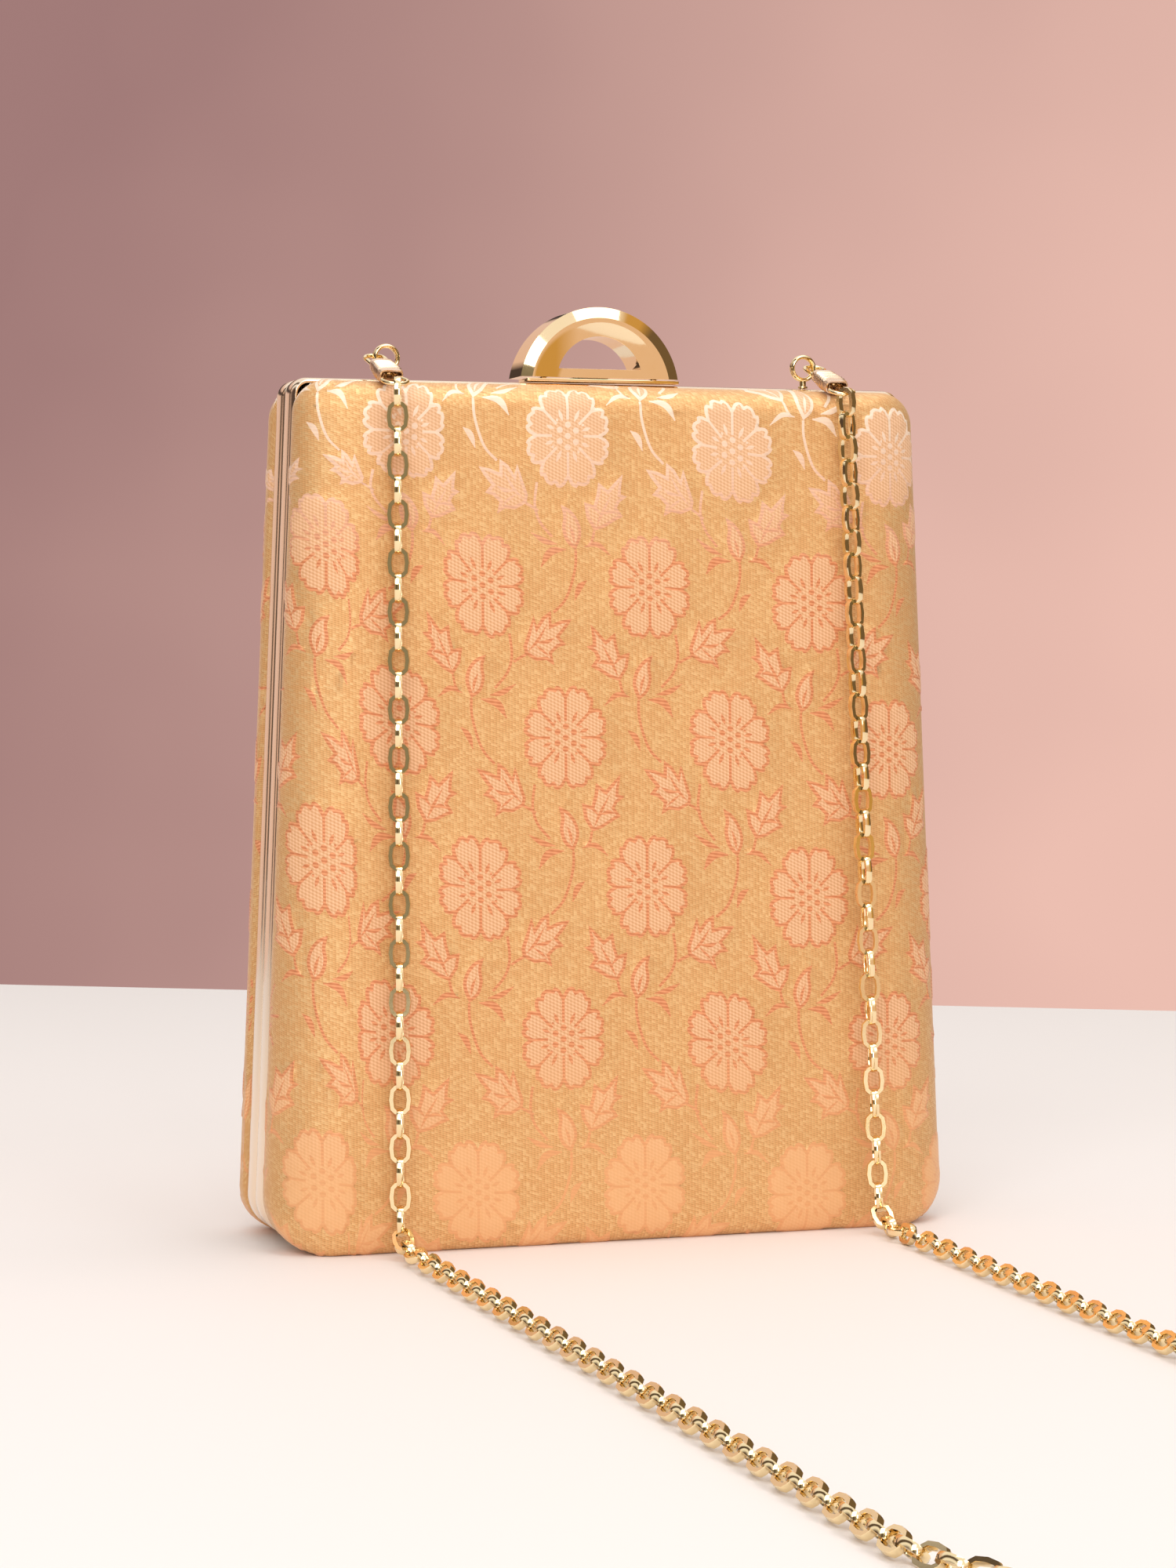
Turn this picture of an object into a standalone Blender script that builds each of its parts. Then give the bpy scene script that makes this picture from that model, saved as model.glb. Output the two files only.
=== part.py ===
"""Box clutch bag: two moulded, fabric-covered halves in metal channel frames, hinged along the
bottom and closed by an arch clasp, with a link chain hooked to two eyes and laid out in front.

Metres, +Z up. The origin is on the table under the middle of the frame's bottom: +X is to the
bag's right seen from the front, and the front half faces -Y. One named object is one piece.
"""

import math

import bmesh
import bpy
from mathutils import Matrix, Vector

MM = 0.001

# Outline of the metal frames
BAG_HEIGHT = 190.0 * MM
FRAME_FOOT = 2.2 * MM
TOP_HALF_WIDTH = 71.4 * MM
BOTTOM_HALF_WIDTH = 79.2 * MM
FRAME_TOP_RADIUS = 7.0 * MM
FRAME_BOTTOM_RADIUS = 13.0 * MM

# Channel section of each frame
FRAME_DEPTH = 8.0 * MM
FRAME_WALL = 0.7 * MM
FRAME_LIP = 1.3 * MM
FRAME_RIM = 5.0 * MM
CLEARANCE = 0.3 * MM

# Moulded halves: how deep each is, and how its edges round over
CASE_TOP_DEPTH = 19.8 * MM
CASE_BOTTOM_DEPTH = 25.2 * MM
CASE_BULGE = 0.3 * MM
SIDE_ROUND_WIDTH = 16.0 * MM
TOP_ROUND_WIDTH = 9.0 * MM
BOTTOM_ROUND_WIDTH = 7.0 * MM
BELLY_START = 9.3 * MM
SIDE_ROUND_START = 11.8 * MM
BOTTOM_ROUND_START = 21.5 * MM
MOUTH_TOP_RADIUS = 10.0 * MM
MOUTH_BOTTOM_RADIUS = 18.0 * MM
FACE_CORNER_RADIUS = 7.0 * MM
COVER_THICKNESS = 0.5 * MM
SHELL_THICKNESS = 1.4 * MM
LINING_THICKNESS = 0.5 * MM

# Two butt hinges under the frames
HINGE_X = 45.0 * MM
HINGE_LENGTH = 24.0 * MM
HINGE_MIDDLE_KNUCKLE = 8.0 * MM
KNUCKLE_RADIUS = 0.8 * MM
HINGE_PIN_RADIUS = 0.3 * MM
HINGE_BORE_CLEARANCE = 0.1 * MM
LEAF_THICKNESS = 0.4 * MM
LEAF_REACH = 6.0 * MM
LEAF_BELOW_KNUCKLE_TOP = 0.15 * MM

# Arch clasp on top of the frames
ARCH_RADIUS = 18.75 * MM
ARCH_HEIGHT = 15.8 * MM
ARCH_DEPTH = 11.0 * MM
ARCH_CHAMFER_WIDTH = 2.4 * MM
ARCH_CHAMFER_DEPTH = 0.9 * MM
ARCH_GAP = 0.5 * MM
HOLE_RADIUS = 10.1 * MM
HOLE_HEIGHT = 7.3 * MM
HOLE_SILL = 2.0 * MM
BASE_THICKNESS = 0.7 * MM
BASE_HALF_LENGTH = 17.8 * MM
EAR_X = 13.0 * MM
EAR_THICKNESS = 1.0 * MM
EAR_RADIUS = 0.8 * MM
CLASP_PIN_Y = -3.6 * MM
CLASP_PIN_RADIUS = 0.35 * MM
CLASP_BORE_RADIUS = 0.45 * MM
CLASP_SEAM_GAP = 0.45 * MM
TONGUE_START = 1.5 * MM
TONGUE_HALF_LENGTH = 4.0 * MM
CATCH_HALF_LENGTH = 6.0 * MM
CATCH_THICKNESS = 0.3 * MM

# Ring eyes on the front frame
EYE_X = 49.2 * MM
EYE_Y = -3.5 * MM
EYE_RADIUS = 2.6 * MM
EYE_WIRE_RADIUS = 0.5 * MM
EYE_BAND_DEPTH = 1.6 * MM
EYE_CENTRE_HEIGHT = 4.9 * MM
EYE_FOOT_RADIUS = 1.1 * MM

# Spring hooks, measured along each hook from its far end
HOOK_TILT = math.radians(20.0)
HOOK_WIRE_RADIUS = 0.5 * MM
HOOK_HALF_WIDTH = 2.2 * MM
HOOK_ROOT_HALF_WIDTH = 1.6 * MM
HOOK_NOSE = 2.6 * MM
GATE_TIP = 4.0 * MM
GATE_ROOT = 10.0 * MM
SLEEVE_START = 8.2 * MM
SLEEVE_END = 15.2 * MM
SLEEVE_WIDE_HALF = 2.8 * MM
SLEEVE_NARROW_HALF = 1.9 * MM
SLEEVE_HALF_HEIGHT = 1.15 * MM
SLEEVE_WALL = 0.35 * MM
RING_START = 13.6 * MM
RING_END = 22.1 * MM
RING_HALF_WIDTH = 2.7 * MM
RING_NECK_HALF_WIDTH = 0.9 * MM
RING_WIRE_RADIUS = 0.45 * MM

# Chain strap: oval links, every second one turned a quarter turn
LINK_LENGTH = 7.0 * MM
LINK_WIDTH = 5.0 * MM
LINK_THICKNESS = 1.4 * MM
LINK_END_BAR = 0.96 * MM
LINK_SIDE_BAR = 1.2 * MM
LINK_PITCH = 5.25 * MM
CHAIN_FLOOR_HEIGHT = 2.5 * MM
CHAIN_CORNER_RADIUS = 5.0 * MM
LEFT_TABLE_POINT = Vector((-53.0, -28.4, 0.0)) * MM
RIGHT_TABLE_POINT = Vector((57.4, -30.6, 0.0)) * MM
LEFT_BEND_POINT = Vector((-50.0, -290.0, 0.0)) * MM
RIGHT_BEND_POINT = Vector((53.0, -290.0, 0.0)) * MM
LEFT_DROP_ROLL = math.radians(18.0)
RIGHT_DROP_ROLL = math.radians(-16.0)
RIGHT_TOP_ROLL = math.radians(30.0)
TABLE_ROLL = math.radians(45.0)
ROLL_BLEND = 26.0 * MM

# Points nearer than this are one point
MESH_WELD = 0.001 * MM

# Fineness of the faceted solids
CORNER_SEGMENTS = 3
ROUND_SEGMENTS = 3
FRAME_SEGMENTS = 4

# Colours (linear) and finish of each material: colour, metallic, roughness
FINISHES = {
    "brocade": ((0.76, 0.45, 0.22), 0.25, 0.45),
    "shell_board": ((0.55, 0.50, 0.42), 0.0, 0.7),
    "lining": ((0.78, 0.62, 0.42), 0.0, 0.8),
    "frame_gold": ((0.86, 0.72, 0.58), 1.0, 0.22),
    "clasp_gold": ((0.88, 0.66, 0.36), 1.0, 0.18),
    "chain_gold": ((0.92, 0.72, 0.42), 1.0, 0.2),
    "steel": ((0.60, 0.60, 0.60), 1.0, 0.3),
}


def clear_scene():
    for old in list(bpy.data.objects):
        bpy.data.objects.remove(old, do_unlink=True)


def collection(name):
    group = bpy.data.collections.new(name)
    bpy.context.scene.collection.children.link(group)
    return group


clear_scene()
BAG = collection("clutch_bag")
CUTTERS = collection("cutters")


def finish(name):
    """One Principled material for each kind of surface."""
    if name in bpy.data.materials:
        return bpy.data.materials[name]
    colour, metallic, roughness = FINISHES[name]
    material = bpy.data.materials.new(name)
    material.use_nodes = True
    shader = material.node_tree.nodes["Principled BSDF"]
    shader.inputs["Base Color"].default_value = (*colour, 1.0)
    shader.inputs["Metallic"].default_value = metallic
    shader.inputs["Roughness"].default_value = roughness
    return material


def place(mesh, name, finish_name, location=(0.0, 0.0, 0.0), group=None):
    """Put a mesh in the bag's collection as a named piece, with its points kept in the world."""
    piece = bpy.data.objects.new(name, mesh)
    mesh.transform(Matrix.Translation(-Vector(location)))
    piece.location = location
    mesh.materials.clear()
    mesh.materials.append(finish(finish_name))
    (group or BAG).objects.link(piece)
    return piece


def taken_mesh(made):
    """Mesh of an object in world space; the object itself is removed."""
    bpy.context.view_layer.update()
    depsgraph = bpy.context.evaluated_depsgraph_get()
    mesh = bpy.data.meshes.new_from_object(made.evaluated_get(depsgraph))
    mesh.transform(made.matrix_world)
    bpy.data.objects.remove(made, do_unlink=True)
    welded = bmesh.new()
    welded.from_mesh(mesh)
    bmesh.ops.remove_doubles(welded, verts=welded.verts, dist=MESH_WELD)
    welded.to_mesh(mesh)
    welded.free()
    return mesh


def box_mesh(low, high):
    centre = (Vector(low) + Vector(high)) / 2
    size = Vector(high) - Vector(low)
    bpy.ops.mesh.primitive_cube_add(size=1.0, location=centre)
    made = bpy.context.active_object
    made.scale = size
    return taken_mesh(made)


def cylinder_mesh(radius, length, centre, axis, vertices=16):
    """Cylinder along the axis X, Y or Z."""
    turns = {"X": (0.0, math.pi / 2, 0.0), "Y": (math.pi / 2, 0.0, 0.0), "Z": (0.0, 0.0, 0.0)}
    bpy.ops.mesh.primitive_cylinder_add(
        vertices=vertices, radius=radius, depth=length, location=centre, rotation=turns[axis])
    return taken_mesh(bpy.context.active_object)


def wire_mesh(points, radius, cyclic=False, sides_resolution=1):
    """Round wire along a polyline."""
    curve = bpy.data.curves.new("wire", "CURVE")
    curve.dimensions = "3D"
    curve.bevel_depth = radius
    curve.bevel_resolution = sides_resolution
    curve.use_fill_caps = True
    spline = curve.splines.new("POLY")
    spline.points.add(len(points) - 1)
    for knot, point in zip(spline.points, points):
        knot.co = (*point, 1.0)
    spline.use_cyclic_u = cyclic
    made = bpy.data.objects.new("wire", curve)
    CUTTERS.objects.link(made)
    return taken_mesh(made)


def combined(mesh, others, operation):
    """Mesh after an exact Boolean with each of the others in turn."""
    base = bpy.data.objects.new("base", mesh)
    CUTTERS.objects.link(base)
    tools = []
    for other in others:
        tool = bpy.data.objects.new("tool", other)
        CUTTERS.objects.link(tool)
        tools.append(tool)
        cut = base.modifiers.new(operation.lower(), "BOOLEAN")
        cut.operation = operation
        cut.object = tool
    result = taken_mesh(base)
    for tool in tools:
        bpy.data.objects.remove(tool, do_unlink=True)
    return result


def smooth(piece, degrees=35.0):
    piece.data.shade_smooth()
    piece.data.set_sharp_from_angle(angle=math.radians(degrees))


# Outline geometry shared by the frames and the moulded halves

def rounded_outline(corners, radii, segments):
    """Closed list of (x, z): each corner becomes an arc of its own radius."""
    points = []
    count = len(corners)
    for index, corner in enumerate(corners):
        before = (corners[index - 1] - corner).normalized()
        after = (corners[(index + 1) % count] - corner).normalized()
        opening = before.angle(after)
        reach = radii[index] / math.tan(opening / 2)
        centre = corner + (before + after).normalized() * radii[index] / math.sin(opening / 2)
        start = corner + before * reach - centre
        sweep = math.pi - opening
        for step in range(segments + 1):
            angle = sweep * step / segments
            turned = Vector((
                start.x * math.cos(angle) - start.y * math.sin(angle),
                start.x * math.sin(angle) + start.y * math.cos(angle)))
            points.append(centre + turned)
    return points


def half_width(z):
    share = (z - FRAME_FOOT) / (BAG_HEIGHT - FRAME_FOOT)
    return BOTTOM_HALF_WIDTH + (TOP_HALF_WIDTH - BOTTOM_HALF_WIDTH) * share


def inset_outline(side, top, bottom, top_radius, bottom_radius, segments):
    """Frame outline moved inward at its sides, top and bottom, from bottom left, anticlockwise."""
    low = FRAME_FOOT + bottom
    high = BAG_HEIGHT - top
    corners = [
        Vector((-(half_width(low) - side), low)),
        Vector((half_width(low) - side, low)),
        Vector((half_width(high) - side, high)),
        Vector((-(half_width(high) - side), high))]
    radii = [bottom_radius, bottom_radius, top_radius, top_radius]
    return rounded_outline(corners, radii, segments)


def case_depth(z):
    return CASE_BOTTOM_DEPTH + (CASE_TOP_DEPTH - CASE_BOTTOM_DEPTH) * z / BAG_HEIGHT


def lofted_skin(rings, capped, facing):
    """Open surface through rings of equal point counts; facing is -1 for the front half."""
    built = bmesh.new()
    levels = []
    for ring in rings:
        levels.append([built.verts.new((x, facing * y, z)) for x, y, z in ring])
    count = len(levels[0])
    for near, far in zip(levels, levels[1:]):
        for index in range(count):
            after = (index + 1) % count
            built.faces.new((near[index], near[after], far[after], far[index]))
    if capped:
        built.faces.new(levels[-1])
    if facing > 0:
        bmesh.ops.reverse_faces(built, faces=built.faces)
    mesh = bpy.data.meshes.new("skin")
    built.to_mesh(mesh)
    built.free()
    return mesh


def thickened(piece, thickness):
    solid = piece.modifiers.new("thickness", "SOLIDIFY")
    solid.thickness = thickness
    solid.offset = -1.0
    solid.use_even_offset = True


def frame_half(name, facing):
    """Channel all round: rim at the seam, outer band, and a short lip over the cover's edge."""
    seam = CLEARANCE / 2
    section = [(FRAME_RIM, seam), (0.0, seam), (0.0, FRAME_DEPTH), (FRAME_LIP, FRAME_DEPTH)]
    rings = []
    for inset, y in section:
        top_radius = max(FRAME_TOP_RADIUS - inset, FRAME_WALL)
        bottom_radius = max(FRAME_BOTTOM_RADIUS - inset, FRAME_WALL)
        outline = inset_outline(inset, inset, inset, top_radius, bottom_radius, FRAME_SEGMENTS)
        rings.append([(point.x, y, point.y) for point in outline])
    piece = place(lofted_skin(rings, False, facing), name, "frame_gold")
    thickened(piece, FRAME_WALL)
    smooth(piece)


def blend(first, second, share):
    return first + (second - first) * share


def round_start(index):
    """Depth where the edge starts to round over, at one point of the outline."""
    corner, step = divmod(index, CORNER_SEGMENTS + 1)
    share = step / CORNER_SEGMENTS
    bottom_share = {0: share, 1: 1.0 - share}.get(corner, 0.0)
    return blend(SIDE_ROUND_START, BOTTOM_ROUND_START, bottom_share)


def case_rings():
    """Outer face of a half, as rings from its mouth in the frame to the rim of its flat face."""
    mouth_inset = FRAME_LIP + CLEARANCE
    mouth = inset_outline(
        mouth_inset, mouth_inset, mouth_inset, MOUTH_TOP_RADIUS, MOUTH_BOTTOM_RADIUS,
        CORNER_SEGMENTS)
    belly = inset_outline(
        -CASE_BULGE, 0.0, -FRAME_FOOT, MOUTH_TOP_RADIUS, MOUTH_BOTTOM_RADIUS, CORNER_SEGMENTS)
    levels = [
        (mouth, CLEARANCE / 2 + FRAME_WALL + CLEARANCE),
        (mouth, FRAME_DEPTH + CLEARANCE),
        (belly, BELLY_START)]
    rings = []
    for outline, y in levels:
        rings.append([(point.x, y, point.y) for point in outline])
    for step in range(ROUND_SEGMENTS + 1):
        angle = math.pi / 2 * step / ROUND_SEGMENTS
        inward = 1.0 - math.cos(angle)
        outline = inset_outline(
            SIDE_ROUND_WIDTH * inward - CASE_BULGE,
            TOP_ROUND_WIDTH * inward,
            BOTTOM_ROUND_WIDTH * inward - FRAME_FOOT,
            blend(MOUTH_TOP_RADIUS, FACE_CORNER_RADIUS, inward),
            blend(MOUTH_BOTTOM_RADIUS, FACE_CORNER_RADIUS, inward),
            CORNER_SEGMENTS)
        ring = []
        for index, point in enumerate(outline):
            start = round_start(index)
            ring.append((
                point.x, start + (case_depth(point.y) - start) * math.sin(angle), point.y))
        rings.append(ring)
    return rings


def case_layer(name, finish_name, facing, layer, thickness):
    """One layer of a half, its outer face lying `layer` inside the cover's outer face."""
    skin = lofted_skin(case_rings(), True, facing)
    split = bmesh.new()
    split.from_mesh(skin)
    bmesh.ops.triangulate(split, faces=split.faces)
    split.to_mesh(skin)
    split.free()
    built = bmesh.new()
    outer = []
    inner = []
    for point in skin.vertices:
        outer.append(built.verts.new(point.co - point.normal * layer))
        inner.append(built.verts.new(point.co - point.normal * (layer + thickness)))
    for face in skin.polygons:
        built.faces.new([outer[index] for index in face.vertices])
        built.faces.new([inner[index] for index in reversed(face.vertices)])
    rim = 4 * (CORNER_SEGMENTS + 1)
    for index in range(rim):
        after = (index + 1) % rim
        built.faces.new((outer[index], inner[index], inner[after], outer[after]))
    bmesh.ops.recalc_face_normals(built, faces=built.faces)
    mesh = bpy.data.meshes.new(name)
    built.to_mesh(mesh)
    built.free()
    bpy.data.meshes.remove(skin)
    smooth(place(mesh, name, finish_name), 50.0)


def moulded_half(side_name, facing):
    shell_layer = COVER_THICKNESS + CLEARANCE
    lining_layer = shell_layer + SHELL_THICKNESS + CLEARANCE
    case_layer(side_name + "_cover", "brocade", facing, 0.0, COVER_THICKNESS)
    case_layer(side_name + "_shell", "shell_board", facing, shell_layer, SHELL_THICKNESS)
    case_layer(side_name + "_lining", "lining", facing, lining_layer, LINING_THICKNESS)
    frame_half(side_name + "_frame", facing)


# Hinges

HINGE_AXIS_Z = FRAME_FOOT - CLEARANCE - KNUCKLE_RADIUS
HINGE_END_KNUCKLE = (HINGE_LENGTH - HINGE_MIDDLE_KNUCKLE) / 2 - CLEARANCE


def leaf_plate(x, facing, knuckles):
    """Flat comb-shaped plate whose teeth run into the knuckles."""
    edge = facing * (KNUCKLE_RADIUS + CLEARANCE)
    tooth = facing * KNUCKLE_RADIUS / 2
    reach = facing * LEAF_REACH
    outline = [(x - HINGE_LENGTH / 2, reach), (x - HINGE_LENGTH / 2, edge)]
    for centre, length in knuckles:
        start = x + centre - length / 2
        end = x + centre + length / 2
        if start - outline[-1][0] < MESH_WELD:
            outline.pop()
        else:
            outline.append((start, edge))
        outline += [(start, tooth), (end, tooth), (end, edge)]
    if x + HINGE_LENGTH / 2 - outline[-1][0] < MESH_WELD:
        outline.pop()
    else:
        outline.append((x + HINGE_LENGTH / 2, edge))
    outline.append((x + HINGE_LENGTH / 2, reach))
    top = HINGE_AXIS_Z + KNUCKLE_RADIUS - LEAF_BELOW_KNUCKLE_TOP
    built = bmesh.new()
    upper = [built.verts.new((along, across, top)) for along, across in outline]
    lower = [built.verts.new((along, across, top - LEAF_THICKNESS)) for along, across in outline]
    built.faces.new(upper)
    built.faces.new(list(reversed(lower)))
    for index, corner in enumerate(upper):
        before = index - 1
        built.faces.new((upper[before], lower[before], lower[index], corner))
    bmesh.ops.recalc_face_normals(built, faces=built.faces)
    plate = bpy.data.meshes.new("leaf")
    built.to_mesh(plate)
    built.free()
    return plate


def hinge_leaf(name, x, facing, knuckles):
    """Flat leaf under a frame with rolled knuckles; knuckles are (centre, length) along X."""
    barrels = []
    bores = []
    for centre, length in knuckles:
        barrel_centre = (x + centre, 0.0, HINGE_AXIS_Z)
        barrels.append(cylinder_mesh(KNUCKLE_RADIUS, length, barrel_centre, "X", 12))
        bore = HINGE_PIN_RADIUS + HINGE_BORE_CLEARANCE
        bores.append(cylinder_mesh(bore, length + CLEARANCE, barrel_centre, "X", 12))
    leaf = combined(leaf_plate(x, facing, knuckles), barrels, "UNION")
    leaf = combined(leaf, bores, "DIFFERENCE")
    place(leaf, name, "frame_gold", (x, 0.0, HINGE_AXIS_Z))


def hinge(side_name, x):
    offset = (HINGE_LENGTH - HINGE_END_KNUCKLE) / 2
    ends = [(-offset, HINGE_END_KNUCKLE), (offset, HINGE_END_KNUCKLE)]
    hinge_leaf("hinge_front_leaf_" + side_name, x, -1, ends)
    hinge_leaf("hinge_back_leaf_" + side_name, x, 1, [(0.0, HINGE_MIDDLE_KNUCKLE)])
    centre = (x, 0.0, HINGE_AXIS_Z)
    pin = cylinder_mesh(HINGE_PIN_RADIUS, HINGE_LENGTH, centre, "X", 8)
    smooth(place(pin, "hinge_pin_" + side_name, "steel", centre))


# Clasp

BASE_BOTTOM = BAG_HEIGHT + CLEARANCE
BASE_TOP = BASE_BOTTOM + BASE_THICKNESS
ARCH_BOTTOM = BASE_TOP + ARCH_GAP
CLASP_PIN_Z = ARCH_BOTTOM + HOLE_SILL / 2


def clasp_base():
    """Plate on the front frame with two ears that carry the arch's pin."""
    plate = box_mesh(
        (-BASE_HALF_LENGTH, -(FRAME_DEPTH - 2 * CLEARANCE), BASE_BOTTOM),
        (BASE_HALF_LENGTH, -CLASP_SEAM_GAP, BASE_TOP))
    ears = []
    for x in (-EAR_X, EAR_X):
        ears.append(box_mesh(
            (x - EAR_THICKNESS / 2, CLASP_PIN_Y - EAR_RADIUS, BASE_TOP - CLEARANCE),
            (x + EAR_THICKNESS / 2, CLASP_PIN_Y + EAR_RADIUS, CLASP_PIN_Z + EAR_RADIUS)))
    base = combined(plate, ears, "UNION")
    bore = cylinder_mesh(
        CLASP_BORE_RADIUS, 2 * BASE_HALF_LENGTH, (0.0, CLASP_PIN_Y, CLASP_PIN_Z), "X", 12)
    place(combined(base, [bore], "DIFFERENCE"), "clasp_base", "clasp_gold")


def arch_blank():
    """Round disc with the wide chamfer on its front and back edges, cut off flat below."""
    centre_z = ARCH_BOTTOM + ARCH_HEIGHT - ARCH_RADIUS
    bpy.ops.mesh.primitive_cylinder_add(
        vertices=48, radius=ARCH_RADIUS, depth=ARCH_DEPTH, location=(0.0, 0.0, centre_z),
        rotation=(math.pi / 2, 0.0, 0.0))
    disc = taken_mesh(bpy.context.active_object)
    shaped = bmesh.new()
    shaped.from_mesh(disc)
    ends = [face for face in shaped.faces if abs(face.normal.y) > 0.9]
    for face in ends:
        bmesh.ops.inset_region(
            shaped, faces=[face], thickness=ARCH_CHAMFER_WIDTH, depth=0.0, use_even_offset=True)
    for face in ends:
        for corner in face.verts:
            corner.co.y += math.copysign(ARCH_CHAMFER_DEPTH, corner.co.y)
    for corner in shaped.verts:
        corner.co.y *= ARCH_DEPTH / (ARCH_DEPTH + 2 * ARCH_CHAMFER_DEPTH)
    shaped.to_mesh(disc)
    shaped.free()
    below = box_mesh(
        (-2 * ARCH_RADIUS, -ARCH_DEPTH, ARCH_BOTTOM - 2 * ARCH_RADIUS),
        (2 * ARCH_RADIUS, ARCH_DEPTH, ARCH_BOTTOM))
    return combined(disc, [below], "DIFFERENCE")


def arch_hole():
    sill = ARCH_BOTTOM + HOLE_SILL
    centre = (0.0, 0.0, sill + HOLE_HEIGHT - HOLE_RADIUS)
    round_part = cylinder_mesh(HOLE_RADIUS, 2 * ARCH_DEPTH, centre, "Y", 32)
    below = box_mesh(
        (-2 * HOLE_RADIUS, -2 * ARCH_DEPTH, sill - 2 * HOLE_RADIUS),
        (2 * HOLE_RADIUS, 2 * ARCH_DEPTH, sill))
    return combined(round_part, [below], "DIFFERENCE")


def clasp():
    clasp_base()
    cuts = [arch_hole()]
    pocket = EAR_RADIUS + CLEARANCE
    for x in (-EAR_X, EAR_X):
        half = EAR_THICKNESS / 2 + CLEARANCE
        cuts.append(box_mesh(
            (x - half, CLASP_PIN_Y - pocket, ARCH_BOTTOM - ARCH_GAP),
            (x + half, CLASP_PIN_Y + pocket, CLASP_PIN_Z + pocket)))
    pin_centre = (0.0, CLASP_PIN_Y, CLASP_PIN_Z)
    pin_half = EAR_X + EAR_THICKNESS
    cuts.append(cylinder_mesh(
        CLASP_BORE_RADIUS, 2 * (pin_half + CLEARANCE), pin_centre, "X", 12))
    arch = combined(arch_blank(), cuts, "DIFFERENCE")
    smooth(place(arch, "clasp_arch", "clasp_gold", pin_centre), 30.0)
    pin = cylinder_mesh(CLASP_PIN_RADIUS, 2 * pin_half, pin_centre, "X", 8)
    smooth(place(pin, "clasp_pin", "steel", pin_centre))
    catch_top = BASE_BOTTOM + CATCH_THICKNESS
    tongue = box_mesh(
        (-TONGUE_HALF_LENGTH, TONGUE_START, catch_top + CLEARANCE),
        (TONGUE_HALF_LENGTH, ARCH_DEPTH / 2 - CLEARANCE, ARCH_BOTTOM - CLEARANCE))
    place(tongue, "clasp_tongue", "steel", pin_centre)
    catch = box_mesh(
        (-CATCH_HALF_LENGTH, CLASP_SEAM_GAP, BASE_BOTTOM),
        (CATCH_HALF_LENGTH, FRAME_DEPTH - 2 * CLEARANCE, catch_top))
    place(catch, "clasp_catch", "clasp_gold", (0.0, 0.0, HINGE_AXIS_Z))


# Eyes and hooks, made for the right side and mirrored for the left

def eye(side_name, side):
    centre = Vector((side * EYE_X, EYE_Y, BAG_HEIGHT + EYE_CENTRE_HEIGHT))
    bpy.ops.mesh.primitive_torus_add(
        major_segments=16, minor_segments=6, major_radius=EYE_RADIUS, minor_radius=EYE_WIRE_RADIUS,
        location=centre, rotation=(math.pi / 2, 0.0, 0.0))
    ring = bpy.context.active_object
    ring.scale = (1.0, 1.0, EYE_BAND_DEPTH / (2 * EYE_WIRE_RADIUS))
    ring = taken_mesh(ring)
    ring_bottom = centre.z - EYE_RADIUS - EYE_WIRE_RADIUS
    foot_height = ring_bottom + EYE_WIRE_RADIUS - BASE_BOTTOM
    foot_centre = (centre.x, centre.y, BASE_BOTTOM + foot_height / 2)
    foot = cylinder_mesh(EYE_FOOT_RADIUS, foot_height, foot_centre, "Z", 10)
    smooth(place(combined(ring, [foot], "UNION"), "eye_" + side_name, "chain_gold"))


def hook_point(side, along, across, lift=0.0):
    """Point of a hook: distance along it from its far end, and across it, outward."""
    anchor_along = HOOK_WIRE_RADIUS + CLEARANCE + EYE_WIRE_RADIUS
    reach = along - anchor_along
    x = side * (EYE_X + EYE_RADIUS + across)
    y = EYE_Y - reach * math.cos(HOOK_TILT) - lift * math.sin(HOOK_TILT)
    z = BAG_HEIGHT + EYE_CENTRE_HEIGHT - reach * math.sin(HOOK_TILT) + lift * math.cos(HOOK_TILT)
    return Vector((x, y, z))


def hook_wire(side_name, side):
    """Bent wire: inner leg, far end round the eye, and the nose that the gate closes on."""
    route = [(GATE_ROOT, -HOOK_ROOT_HALF_WIDTH), (GATE_TIP, -HOOK_HALF_WIDTH)]
    for step in range(9):
        angle = math.pi * step / 8
        route.append((
            HOOK_HALF_WIDTH * (1.0 - math.sin(angle)),
            -HOOK_HALF_WIDTH * math.cos(angle)))
    route.append((HOOK_NOSE, HOOK_HALF_WIDTH))
    points = [hook_point(side, along, across) for along, across in route]
    smooth(place(wire_mesh(points, HOOK_WIRE_RADIUS), "hook_" + side_name, "chain_gold"))


def gate(side_name, side):
    route = [(GATE_TIP - CLEARANCE, HOOK_HALF_WIDTH), (GATE_ROOT, HOOK_ROOT_HALF_WIDTH)]
    points = [hook_point(side, along, across) for along, across in route]
    root = hook_point(side, GATE_ROOT, HOOK_ROOT_HALF_WIDTH)
    piece = place(wire_mesh(points, HOOK_WIRE_RADIUS), "hook_gate_" + side_name, "chain_gold", root)
    smooth(piece)


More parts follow.
